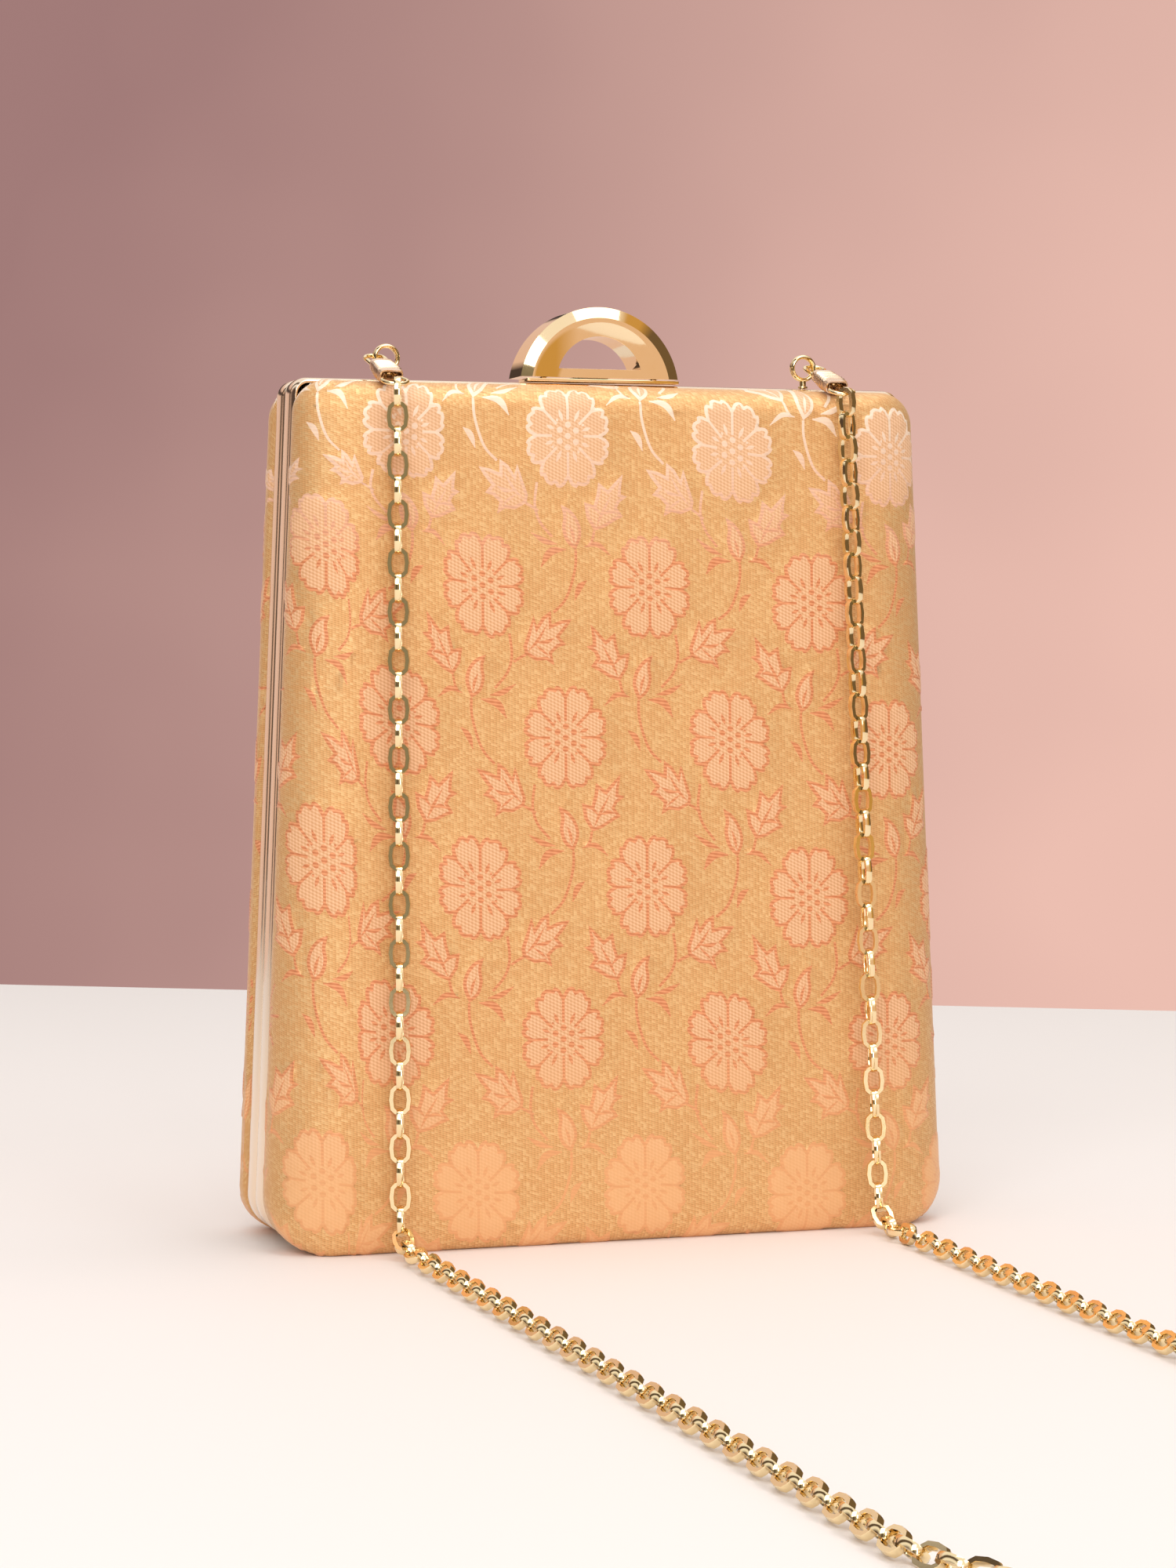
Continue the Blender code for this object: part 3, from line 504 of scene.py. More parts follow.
# %% Gold and steel materials
def plated_finish(name, colour, pale, roughness, ripple):
    material, tree, shader = new_material(name)
    place = object_vector(tree)
    drift = placed_group(tree, DRIFT, place, Broad=60.0, Fine=420.0)["Value"]
    gloss = ranged(tree, drift, 0.3, 0.7, roughness * 0.7, roughness * 1.35)
    tree.links.new(mixed(tree, drift, colour, pale), shader.inputs["Base Color"])
    tree.links.new(gloss, shader.inputs["Roughness"])
    relief = bump(tree, noise(tree, place, 900.0), ripple, 0.02 * MM)
    tree.links.new(relief, shader.inputs["Normal"])
    shader.inputs["Metallic"].default_value = 1.0
    return material


FRAME_GOLD = plated_finish("frame_gold", (0.90, 0.70, 0.51), (0.95, 0.80, 0.64), 0.14, 0.06)
CLASP_GOLD = plated_finish("clasp_gold", (0.93, 0.70, 0.40), (0.97, 0.79, 0.53), 0.045, 0.03)
CHAIN_GOLD = plated_finish("chain_gold", (0.90, 0.70, 0.38), (0.95, 0.80, 0.52), 0.10, 0.08)
SLEEVE_GOLD = plated_finish("sleeve_gold", (0.80, 0.56, 0.40), (0.88, 0.67, 0.50), 0.30, 0.10)
STEEL = plated_finish("bright_steel", (0.58, 0.57, 0.55), (0.70, 0.69, 0.67), 0.28, 0.15)
plating = (FRAME_GOLD, CLASP_GOLD, CHAIN_GOLD, SLEEVE_GOLD, STEEL)
print("plating", [finish.name for finish in plating])

# %% [markdown]
# ## Finishes of the board and the lining
#
# The moulded board shows only at its edge when the bag is open, so it needs a paper grain and no
# more. The lining is a plain cloth glued inside it. Its threads lie in the plane of the bag's face,
# so the coordinates are turned to that plane.

# %% Board and lining materials
def board_finish():
    material, tree, shader = new_material("shell_board")
    grain = noise(tree, object_vector(tree), 700.0, 4.0)
    colour = mixed(tree, grain, (0.42, 0.36, 0.28), (0.60, 0.54, 0.44))
    tree.links.new(colour, shader.inputs["Base Color"])
    tree.links.new(bump(tree, grain, 0.3, 0.1 * MM), shader.inputs["Normal"])
    shader.inputs["Roughness"].default_value = 0.75
    return material


def lining_finish():
    material, tree, shader = new_material("lining")
    turned = tree.nodes.new("ShaderNodeVectorRotate")
    turned.rotation_type = "X_AXIS"
    turned.inputs["Angle"].default_value = math.pi / 2
    tree.links.new(object_vector(tree), turned.inputs["Vector"])
    weave = placed_group(tree, THREADS, turned.outputs[0], Threads_X=2000.0, Threads_Y=2000.0)
    colour = mixed(tree, weave["Height"], (0.60, 0.42, 0.24), (0.74, 0.55, 0.34))
    tree.links.new(colour, shader.inputs["Base Color"])
    tree.links.new(bump(tree, weave["Height"], 0.4, 0.06 * MM), shader.inputs["Normal"])
    shader.inputs["Roughness"].default_value = 0.7
    return material


BOARD = board_finish()
LINING = lining_finish()
print("finishes", BOARD.name, LINING.name)

# %% [markdown]
# ## The outline that frames and halves share
#
# Both come from one trapezoid with rounded corners, moved inward by different amounts. The numbers
# are near those of the CAD part; here the corners get many more steps, and the straight sides are
# divided too, so that the cloth can be laid over them.

# %% Outline
BAG_HEIGHT = 190.0
FRAME_FOOT = 2.2
TOP_HALF_WIDTH = 71.4
BOTTOM_HALF_WIDTH = 79.2
CORNER_STEPS = 10
SIDE_STEPS = 34
END_STEPS = 26


def half_width(z):
    """Half of the frame's width at a height."""
    share = (z - FRAME_FOOT) / (BAG_HEIGHT - FRAME_FOOT)
    return BOTTOM_HALF_WIDTH + (TOP_HALF_WIDTH - BOTTOM_HALF_WIDTH) * share


def corner_arc(before, corner, after, radius, steps):
    """Points of the arc that rounds one corner."""
    back = (before - corner).normalized()
    onward = (after - corner).normalized()
    opening = back.angle(onward)
    centre = corner + (back + onward).normalized() * radius / math.sin(opening / 2)
    start = corner + back * radius / math.tan(opening / 2) - centre
    points = []
    for step in range(steps + 1):
        angle = (math.pi - opening) * step / steps
        points.append(centre + Vector((
            start.x * math.cos(angle) - start.y * math.sin(angle),
            start.x * math.sin(angle) + start.y * math.cos(angle))))
    return points


def outline(side, top, bottom, top_radius, bottom_radius, divided=True):
    """Rounded trapezoid in millimetres, from the bottom left corner, anticlockwise."""
    low = FRAME_FOOT + bottom
    high = BAG_HEIGHT - top
    corners = [
        Vector((-(half_width(low) - side), low)), Vector((half_width(low) - side, low)),
        Vector((half_width(high) - side, high)), Vector((-(half_width(high) - side), high))]
    radii = [bottom_radius, bottom_radius, top_radius, top_radius]
    arcs = []
    for index, corner in enumerate(corners):
        arcs.append(corner_arc(
            corners[index - 1], corner, corners[(index + 1) % 4], radii[index], CORNER_STEPS))
    points = []
    for index, arc in enumerate(arcs):
        points += arc
        following = arcs[(index + 1) % 4][0]
        steps = END_STEPS if index % 2 == 0 else SIDE_STEPS
        if divided:
            points += [arc[-1].lerp(following, step / steps) for step in range(1, steps)]
    return points


print("outline", len(outline(0.0, 0.0, 0.0, 8.0, 8.0)), "points")

# %% [markdown]
# ## Rings of a moulded half
#
# A half is a stack of rings: from the rim of its flat face, round the edge, over the belly and into
# the frame. Cloth, board and lining use the same rings, each a little further in than the last.
# The bottom edge is rounded more tightly than the sides, so each ring starts deeper there.

# %% Rings of a moulded half
SIDE_ROUND_WIDTH = 16.0
TOP_ROUND_WIDTH = 6.0
TOP_DROP = 0.9
BOTTOM_ROUND_WIDTH = 7.0
CASE_TOP_DEPTH = 19.8
CASE_BOTTOM_DEPTH = 25.2
CASE_BULGE = 0.3
SIDE_ROUND_START = 11.8
BOTTOM_ROUND_START = 21.5
MOUTH_INSET = 1.6
MOUTH_TOP_RADIUS = 7.5
MOUTH_BOTTOM_RADIUS = 12.0
FACE_CORNER_RADIUS = 5.0
ROUND_STEPS = 14
OUTER_LEVELS = ((0.0, 10.1), (0.12, 9.6), (0.45, 9.05), (0.85, 8.65), (1.0, 8.3), (1.0, 7.0))
INNER_LEVELS = ((1.0, 7.0), (1.0, 8.8), (0.2, 10.2))


def case_depth(z):
    """Depth of the flat face, which leans back toward the top."""
    return CASE_BOTTOM_DEPTH + (CASE_TOP_DEPTH - CASE_BOTTOM_DEPTH) * z / BAG_HEIGHT


def bottom_share(index):
    """How much a point of the outline belongs to the bottom edge."""
    corner_span = CORNER_STEPS + 1
    bottom_end = corner_span + END_STEPS - 1
    side_start = bottom_end + corner_span
    if index < corner_span:
        return index / CORNER_STEPS
    if index < bottom_end:
        return 1.0
    if index < side_start:
        return 1.0 - (index - bottom_end) / CORNER_STEPS
    return 0.0


def mix(first, second, share):
    return first + (second - first) * share


def case_ring(angle, inside):
    """Ring where the edge has turned by an angle from its belly, a little inside the cover."""
    inward = 1.0 - math.cos(angle)
    ring = outline(
        SIDE_ROUND_WIDTH * inward - CASE_BULGE + inside * math.cos(angle),
        TOP_DROP + TOP_ROUND_WIDTH * inward + inside * math.cos(angle),
        BOTTOM_ROUND_WIDTH * inward - FRAME_FOOT + inside * math.cos(angle),
        mix(MOUTH_TOP_RADIUS, FACE_CORNER_RADIUS, inward),
        mix(MOUTH_BOTTOM_RADIUS, FACE_CORNER_RADIUS, inward))
    points = []
    for index, point in enumerate(ring):
        start = mix(SIDE_ROUND_START, BOTTOM_ROUND_START, bottom_share(index))
        depth = start + (case_depth(point.y) - start) * math.sin(angle) - inside * math.sin(angle)
        points.append(Vector((point.x, -depth, point.y)))
    return points


def level_ring(inset_share, inside, depth):
    """Ring between the belly, at 0, and the mouth that goes into the frame, at 1."""
    ring = outline(
        mix(-CASE_BULGE, MOUTH_INSET, inset_share) + inside,
        mix(TOP_DROP, MOUTH_INSET, inset_share) + inside,
        mix(-FRAME_FOOT, MOUTH_INSET, inset_share) + inside,
        MOUTH_TOP_RADIUS, MOUTH_BOTTOM_RADIUS)
    return [Vector((point.x, -depth, point.y)) for point in ring]


def half_rings(inside, thickness):
    """Outer rings from the face to the mouth, then inner rings back to the face."""
    rings = []
    for step in range(ROUND_STEPS + 1):
        rings.append(case_ring(math.pi / 2 * (1.0 - step / ROUND_STEPS), inside))
    rings += [level_ring(share, inside, depth) for share, depth in OUTER_LEVELS]
    within = inside + thickness
    rings += [level_ring(share, within, depth) for share, depth in INNER_LEVELS]
    for step in range(0, ROUND_STEPS + 1, 2):
        rings.append(case_ring(math.pi / 2 * step / ROUND_STEPS, within))
    return rings


print("rings of the cloth", len(half_rings(0.0, 0.5)))

# %% [markdown]
# ## Rolling a half out flat
#
# A pattern is easiest to draw on flat cloth. Rolled out, each ring lies as far beyond the face's
# rim as the cloth would reach, so every ring has two places, flat and moulded, and any point of the
# pattern can be carried over to the bag by the triangle that it falls in.

# %% Rolling a half out flat
def rolled_out(rings):
    """Flat places of the rings: straight out from the face's rim by the length of the cloth."""
    belly = rings[ROUND_STEPS]
    flat = [[Vector((point.x, point.z)) for point in rings[0]]]
    for near, far in zip(rings, rings[1:]):
        row = []
        for index, point in enumerate(flat[-1]):
            out = Vector((belly[index].x - rings[0][index].x, belly[index].z - rings[0][index].z))
            row.append(point + out.normalized() * (far[index] - near[index]).length)
        flat.append(row)
    return flat

# %% [markdown]
# ## Drawing the floral pattern
#
# Every form of the pattern is a closed outline. Curves are run smoothly through a few points,
# strokes swell in the middle as woven ones do, and a smaller copy inside an outline leaves the
# narrow band that is woven in satin.

# %% Curves, strokes and margins
def smooth_path(points, steps):
    """Catmull-Rom curve through a few points."""
    ends = [points[0] * 2 - points[1]] + points + [points[-1] * 2 - points[-2]]
    path = []
    for index in range(1, len(ends) - 2):
        a, b, c, d = ends[index - 1:index + 3]
        for step in range(steps):
            t = step / steps
            path.append(0.5 * (
                2 * b + (c - a) * t + (2 * a - 5 * b + 4 * c - d) * t * t
                + (3 * b - a - 3 * c + d) * t * t * t))
    path.append(points[-1])
    return path


def stroke(points, width, steps=5, pointed=True):
    """Outline of a line that swells to its width in the middle."""
    path = smooth_path(points, steps)
    left = []
    right = []
    count = len(path) - 1
    for index, point in enumerate(path):
        ahead = path[min(index + 1, count)] - path[max(index - 1, 0)]
        normal = Vector((-ahead.y, ahead.x)).normalized()
        share = index / count
        swell = max(math.sin(math.pi * share), 0.16) if pointed else 1.0
        left.append(point + normal * width / 2 * swell)
        right.append(point - normal * width / 2 * swell)
    return right + left[::-1]


def shrunk(shape, distance):
    """A closed outline moved inward by about a distance."""
    inner = []
    count = len(shape)
    for index, point in enumerate(shape):
        ahead = (shape[(index + 1) % count] - point).normalized()
        behind = (point - shape[index - 1]).normalized()
        along = (ahead + behind)
        if along.length < 0.2:
            along = ahead
        along.normalize()
        normal = Vector((-along.y, along.x))
        sharpness = max(math.sqrt(max((1.0 + ahead.dot(behind)) / 2, 0.0)), 0.5)
        inner.append(point + normal * distance / sharpness)
    return inner

# %% [markdown]
# ## The bloom
#
# The flower has eight petals with small notches, drawn as one outline whose radius changes with the
# angle. Short dark strokes part the petals, and seven dots are the seeds.

# %% Bloom
BLOOM_HALF_WIDTH = 9.9
BLOOM_HALF_HEIGHT = 11.9
PETAL_COUNT = 8
EDGE_POINTS = 112
SEED_RADIUS = 0.72
SEED_RING = 2.15


def petal_radius(angle):
    """Edge of the bloom: eight petals, each with two small notches."""
    turn = (angle / (math.pi / 4)) % 1.0 * 2.0 - 1.0
    edge = 1.0 - 0.20 * abs(turn) ** 4
    for notch in (-0.38, 0.30):
        edge -= 0.07 * math.exp(-((turn - notch) / 0.10) ** 2)
    across, up = math.cos(angle) / BLOOM_HALF_WIDTH, math.sin(angle) / BLOOM_HALF_HEIGHT
    return edge * (1.0 / math.sqrt(across ** 2 + up ** 2))


def direction(angle):
    return Vector((math.cos(angle), math.sin(angle)))


def ray(angle, near, far):
    """Points of a stroke outward from near, in millimetres, to a share of the petal's reach."""
    reach = petal_radius(angle + 0.2)
    out = direction(angle)
    return [out * near, out * (near + far * reach) / 2, out * far * reach]


def seed(centre):
    return [centre + direction(math.pi / 4 * turn) * SEED_RADIUS for turn in range(8)]


def bloom():
    """Shapes of one bloom: (outline, kind), the kind being motif or line."""
    edge = []
    for step in range(EDGE_POINTS):
        angle = 2 * math.pi * step / EDGE_POINTS
        edge.append(direction(angle) * petal_radius(angle))
    shapes = [(edge, "motif")]
    for step in range(PETAL_COUNT):
        angle = math.pi / 4 * step
        middle = angle + math.pi / 8
        shapes.append((stroke(ray(angle, 3.6, 0.84), 0.62, 3, False), "line"))
        shapes.append((stroke(ray(middle - 0.05, 3.5, 0.56), 0.85, 3), "line"))
        if step % 2 == 0:
            shapes.append((stroke(ray(middle + 0.22, 3.9, 0.50), 0.6, 3), "line"))
    for step in range(7):
        angle = math.pi / 3 * step + 0.5
        centre = Vector((math.cos(angle), math.sin(angle) * 1.15))
        shapes.append((seed(centre * (SEED_RING if step < 6 else 0.0)), "line"))
    return shapes


print("bloom", len(bloom()), "shapes")

# %% [markdown]
# ## The spray
#
# Each bloom has a bud, four leaflets, two five-pointed leaves and their stems. The tables give the
# points that the curves run through, in millimetres from the bloom's middle.

# %% Leaves, bud and stems
BUD_SIDES = (
    ((-21.4, 8.0), (-19.2, 9.9), (-18.3, 12.8), (-18.6, 15.4), (-18.0, 18.0)),
    ((-18.0, 18.0), (-20.4, 16.7), (-22.2, 14.2), (-22.7, 11.3), (-21.4, 8.0)))
BUD_VEIN = ((-21.0, 9.6), (-20.7, 11.6), (-19.9, 13.6))
LEAVES = (
    ((-9.6, -14.8), (-9.2, -13.0), (-10.2, -10.2), (-11.6, -6.2), (-12.3, -8.6), (-13.6, -6.6),
     (-15.6, -5.2), (-15.7, -8.2), (-17.6, -7.4), (-20.4, -7.0), (-19.2, -8.9), (-17.5, -10.9),
     (-19.0, -12.7), (-17.2, -13.2), (-15.7, -14.6), (-16.3, -17.2), (-14.4, -16.0),
     (-12.2, -16.2)),
    ((-25.7, 12.3), (-23.9, 15.2), (-23.4, 18.6), (-25.6, 17.9), (-26.3, 20.3), (-26.7, 23.0),
     (-28.9, 21.3), (-30.4, 22.9), (-32.4, 24.8), (-32.0, 21.9), (-31.9, 20.4), (-33.4, 19.9),
     (-31.6, 18.6), (-31.0, 17.4), (-32.4, 15.5), (-30.6, 14.6), (-28.2, 13.1)))
VEINS = (
    (((-10.3, -14.0), (-12.4, -11.8), (-14.6, -8.2)), 0.7),
    (((-12.2, -12.2), (-14.6, -12.0), (-16.2, -11.2)), 0.9),
    (((-12.0, -12.8), (-13.6, -14.0), (-15.0, -15.2)), 0.6),
    (((-26.2, 13.4), (-27.6, 16.4), (-29.8, 20.4)), 0.7),
    (((-27.2, 15.8), (-26.0, 17.2), (-25.0, 18.0)), 0.7),
    (((-27.4, 15.9), (-29.4, 16.6), (-30.8, 16.2)), 0.9))
LEAFLETS = (
    (((-17.2, 9.3), (-14.3, 10.0), (-11.2, 11.8)), 1.25),
    (((-19.2, 8.2), (-15.6, 7.6), (-13.4, 4.3)), 1.7),
    (((-23.4, 8.8), (-26.4, 9.3), (-29.4, 6.9)), 1.15),
    (((-23.9, 1.4), (-22.2, -0.1), (-21.1, -3.0)), 1.4))
STEMS = (
    ((-16.0, 10.9), (-13.2, 14.2), (-12.1, 18.0), (-12.6, 22.8)),
    ((-21.4, 8.0), (-21.3, 4.5), (-20.2, 0.2), (-18.7, -3.1), (-16.2, -5.6)),
    ((-25.7, 12.3), (-25.2, 10.2), (-24.3, 8.9)),
    ((-9.7, -14.8), (-8.2, -15.6), (-6.9, -16.4)))
STEM_WIDTH = 0.62


def vectors(pairs):
    return [Vector(pair) for pair in pairs]


def signed_area(shape):
    """Area of a closed outline, positive when it runs anticlockwise."""
    area = 0.0
    for first, second in zip(shape, shape[1:] + shape[:1]):
        area += first.x * second.y - second.x * first.y
    return area / 2


def spray():
    """Shapes that belong to one bloom at the origin, in the order in which they lie."""
    bud_left, bud_right = [smooth_path(vectors(side), 4) for side in BUD_SIDES]
    shapes = [(bud_left + bud_right[1:-1], "motif")]
    shapes.append((stroke(vectors(BUD_VEIN), 0.7, 3), "line"))
    for points in LEAVES:
        leaf = vectors(points)
        if signed_area(leaf) < 0.0:
            leaf.reverse()
        shapes.append((leaf, "motif"))
    shapes += [(stroke(vectors(vein), width, 3), "line") for vein, width in VEINS]
    shapes += [(stroke(vectors(leaflet), width, 5), "satin") for leaflet, width in LEAFLETS]
    shapes += [(stroke(vectors(stem), STEM_WIDTH, 5, False), "satin") for stem in STEMS]
    return shapes


print("spray", len(spray()), "shapes")

# %% [markdown]
# ## Setting out the pattern
#
# The group repeats every 38.4 mm, and every second row is mirrored and moved by half. On the real
# bag the cloth was pulled a little as it was glued: near the left edge the pattern climbs by up to
# 9 mm, and near the right edge it sags by 3. The setting-out follows that.

# %% Pattern on the flat cloth
REPEAT_WIDTH = 38.4
ROW_STEP = 33.0
FIRST_ROW_Z = 177.5
FIRST_ROW_X = -12.6
ROW_LEAN = -0.55
ROWS = range(-1, 7)
COLUMNS = range(-4, 5)
LEFT_CLIMB = 8.8
RIGHT_SAG = 3.3
MIDDLE_SAG = 2.0
EDGE_SHIFT = 3.8


def ease(value, low, high):
    """Smooth step from 0 at low to 1 at high."""
    share = min(max((value - low) / (high - low), 0.0), 1.0)
    return share * share * (3.0 - 2.0 * share)


def pulled(point):
    """Where a point of the undisturbed pattern lies on the cloth as it was glued."""
    x, z = point.x, point.y
    left = min(max((-x - 30.0) / 40.0, 0.0), 1.3)
    climb = LEFT_CLIMB * left ** 1.2 * (1.0 - 0.9 * ease(z, 150.0, 178.0))
    rise = climb * (0.4 + 0.6 * ease(z, 10.0, 130.0))
    rise -= RIGHT_SAG * ease(x, 15.0, 50.0)
    from_middle = abs(ease(z, 50.0, 170.0) * 2.0 - 1.0)
    rise -= MIDDLE_SAG * ease(x, 5.0, 28.0) * (1.0 - ease(x, 30.0, 50.0)) * from_middle
    shift = EDGE_SHIFT * ease(-x, 57.0, 70.0)
    shift += (0.0167 * z - 1.15) * ease(-x, 35.0, 48.0) * (1.0 - ease(-x, 56.0, 66.0))
    return Vector((x + shift, z + rise))


def pattern_shapes(limit):
    """All shapes on the cloth, kept where their middle passes the limit test."""
    group = bloom() + spray()
    placed = []
    for row in ROWS:
        mirrored = row % 2 != 0
        middle = Vector((
            FIRST_ROW_X + ROW_LEAN * row + (REPEAT_WIDTH / 2 if mirrored else 0.0),
            FIRST_ROW_Z - ROW_STEP * row))
        for column in COLUMNS:
            origin = middle + Vector((REPEAT_WIDTH * column, 0.0))
            for shape, kind in group:
                points = []
                for point in shape:
                    x = -point.x if mirrored else point.x
                    points.append(pulled(origin + Vector((x, point.y))))
                if mirrored:
                    points.reverse()
                centre = sum(points, Vector((0.0, 0.0))) / len(points)
                if limit(centre):
                    placed.append((points, kind))
    return placed

# %% [markdown]
# ## Which weave a triangle has
#
# Once the cloth is cut into triangles along the outlines, each triangle belongs to the last outline
# that runs round it. Counting how often an outline winds round the triangle's middle settles that,
# and numpy does it for thousands of triangles at once.

# %% Weave of each triangle
GROUND, PETAL, SATIN = 0.0, 0.5, 1.0


def inside_polygon(point, polygon):
    """Whether a point is inside a closed polygon."""
    within = False
    for first, second in zip(polygon, polygon[1:] + polygon[:1]):
        if (first.y > point.y) != (second.y > point.y):
            crossing = first.x + (point.y - first.y) * (second.x - first.x) / (second.y - first.y)
            if point.x < crossing:
                within = not within
    return within


def wound_round(centres, loop):
    """Which of the centres a closed loop runs round anticlockwise."""
    x, y = centres[:, 0], centres[:, 1]
    turns = np.zeros(len(centres))
    for first, second in zip(loop, loop[1:] + loop[:1]):
        side = (second.x - first.x) * (y - first.y) - (second.y - first.y) * (x - first.x)
        turns += (first.y <= y) & (second.y > y) & (side > 0)
        turns -= (first.y > y) & (second.y <= y) & (side < 0)
    return turns > 0


def weave_of(centres, loops):
    """Weave of each triangle, from its centre; later loops lie over earlier ones."""
    weave = np.full(len(centres), GROUND)
    for loop, kind in loops:
        low_x, high_x = min(p.x for p in loop), max(p.x for p in loop)
        low_y, high_y = min(p.y for p in loop), max(p.y for p in loop)
        near = np.nonzero(
            (centres[:, 0] > low_x) & (centres[:, 0] < high_x)
            & (centres[:, 1] > low_y) & (centres[:, 1] < high_y))[0]
        weave[near[wound_round(centres[near], loop)]] = kind
    return weave

# %% [markdown]
# ## Cutting the pattern into the cloth
#
# A constrained triangulation joins the rings, laid flat, and the outlines of the pattern into one
# sheet of triangles in which every outline is an edge. That is what lets the motifs stand up with
# crisp sides later on.

# %% Cutting the flat cloth
OUTLINE_WIDTH = 0.75
BORDER_RING = ROUND_STEPS + 3
CUT_TOLERANCE = 1e-4


def ring_net(flat):
    """Points and edges of the rings laid flat, joined crosswise."""
    count = len(flat[0])
    points = []
    edges = []
    for level, row in enumerate(flat):
        start = level * count
        points += row
        for index in range(count):
            edges.append((start + index, start + (index + 1) % count))
            if level + 1 < len(flat):
                edges.append((start + index, start + count + index))
    return points, edges


def pattern_loops(border):
    """Closed loops of the pattern and their weaves: a satin form, with petal weave in a motif."""
    loops = []
    for shape, kind in pattern_shapes(lambda centre: inside_polygon(centre, border)):
        loops.append((shape, SATIN))
        if kind == "motif":
            loops.append((shrunk(shape, OUTLINE_WIDTH), PETAL))
    return loops


def cut_cloth(flat):
    """Points and triangles of the flat cloth, and the weave of each triangle."""
    points, edges = ring_net(flat)
    loops = pattern_loops(flat[BORDER_RING])
    for loop, _ in loops:
        start = len(points)
        points += loop
        edges += [(start + index, start + (index + 1) % len(loop)) for index in range(len(loop))]
    count = len(flat[0])
    cloth_edge = [count * (len(flat) - 1) + index for index in range(count)]
    made = delaunay_2d_cdt(points, edges, [cloth_edge], 1, CUT_TOLERANCE, True)
    verts, triangles = made[0], made[2]
    corners = np.array([point[:] for point in verts])[np.array(triangles)]
    print("cloth", len(verts), "points", len(triangles), "triangles", len(loops), "loops")
    return verts, triangles, weave_of(corners.mean(axis=1), loops)

# %% [markdown]
# ## Laying the cloth over the half
#
# Points on the flat face only move forward to it. Every other point is carried over by the triangle
# of the ring net that it falls in. Points that touch motif weave alone are lifted by 0.18 mm.

# %% Moulding the cloth
MOTIF_RISE = 0.18
COVER_THICKNESS = 0.5
HALF_MIDDLE = Vector((0.0, -10.0, 95.0))


def net_triangles(count, levels):
    """Triangles of the ring net, as indices of its points."""
    triangles = []
    for level in range(levels - 1):
        for index in range(count):
            a, b = level * count + index, level * count + (index + 1) % count
            triangles += [(a, b, b + count), (a, b + count, a + count)]
    return triangles


def moulded(verts, raised, flat, rings):
    """Places on the half for points of the flat cloth."""
    flat_points = [Vector((point.x, point.y, 0.0)) for row in flat for point in row]
    bent_points = [point for ring in rings for point in ring]
    net = net_triangles(len(flat[0]), len(flat))
    tree = BVHTree.FromPolygons(flat_points, net)
    placed = []
    for point, is_raised in zip(verts, raised):
        lift = MOTIF_RISE if is_raised else 0.0
        if inside_polygon(point, flat[0]):
            placed.append(Vector((point.x, -case_depth(point.y) - lift, point.y)))
            continue
        flat_point = Vector((point.x, point.y, 0.0))
        corners = net[tree.find_nearest(flat_point)[2]]
        a, b, c = [bent_points[index] for index in corners]
        spot = barycentric_transform(
            flat_point, *[flat_points[index] for index in corners], a, b, c)
        if is_raised:
            normal = (b - a).cross(c - a).normalized()
            spot += normal * (lift if normal.dot(spot - HALF_MIDDLE) > 0 else -lift)
        placed.append(spot)
    return placed


def cover_data():
    """Places, triangles, weaves and flat places of the front cover, in millimetres."""
    rings = half_rings(0.0, COVER_THICKNESS)
    flat = rolled_out(rings)
    verts, triangles, weave = cut_cloth(flat)
    raised = [True] * len(verts)
    for triangle, kind in zip(triangles, weave):
        if kind == GROUND:
            for index in triangle:
                raised[index] = False
    return moulded(verts, raised, flat, rings), triangles, weave, verts


cover = cover_data()

# %% [markdown]
# ## Covers
#
# The front and back covers are the same cloth, mirrored. Each keeps its flat places as the UV map
# called cloth, one unit to 100 mm, and its weaves as a face attribute, for the brocade material.

# %% Covers
def cover_piece(name, body, facing):
    points, triangles, weave, flat = cover
    mesh = bpy.data.meshes.new(name)
    mesh.from_pydata([Vector((p.x, -facing * p.y, p.z)) * MM for p in points], [], triangles)
    mesh.update()
    cloth = mesh.uv_layers.new(name="cloth")
    for loop in mesh.loops:
        spot = flat[loop.vertex_index]
        cloth.data[loop.index].uv = (spot.x * facing * -0.01, spot.y * 0.01)
    mesh.attributes.new("weave", "FLOAT", "FACE").data.foreach_set("value", list(weave))
    built = bmesh.new()
    built.from_mesh(mesh)
    open_edges = [edge for edge in built.edges if edge.is_boundary]
    bmesh.ops.holes_fill(built, edges=open_edges, sides=0)
    bmesh.ops.recalc_face_normals(built, faces=built.faces)
    built.to_mesh(mesh)
    built.free()
    piece = new_object(mesh)
    smooth(piece, 60.0)
    return dress(piece, name + "_cloth", body, BROCADE, [name])


cover_piece("front_cover", "front_half", -1)
cover_piece("back_cover", "back_half", 1)

# %% [markdown]
# ## Board and lining
#
# The two layers behind the cloth are plain lofts through the same rings, each closed by its inner
# rings and a flat cap, so that each is a real shell with a thickness.

# %% Board and lining pieces
BOARD_INSIDE, BOARD_THICKNESS = 0.8, 1.4
LINING_INSIDE, LINING_THICKNESS = 2.5, 0.5


def layer_piece(node, body, facing, inside, thickness, finish):
    rings = []
    for ring in half_rings(inside, thickness):
        rings.append([Vector((p.x, -facing * p.y, p.z)) for p in ring])
    built = lofted(rings, True)
    bmesh.ops.recalc_face_normals(built, faces=built.faces)
    piece = object_from(built)
    smooth(piece, 50.0)
    return dress(piece, node + "_layer", body, finish, [node])


for side, facing in (("front", -1), ("back", 1)):
    layer_piece(
        side + "_shell", side + "_half", facing, BOARD_INSIDE, BOARD_THICKNESS,
        BOARD)
    layer_piece(
        side + "_lining", side + "_half", facing, LINING_INSIDE, LINING_THICKNESS,
        LINING)

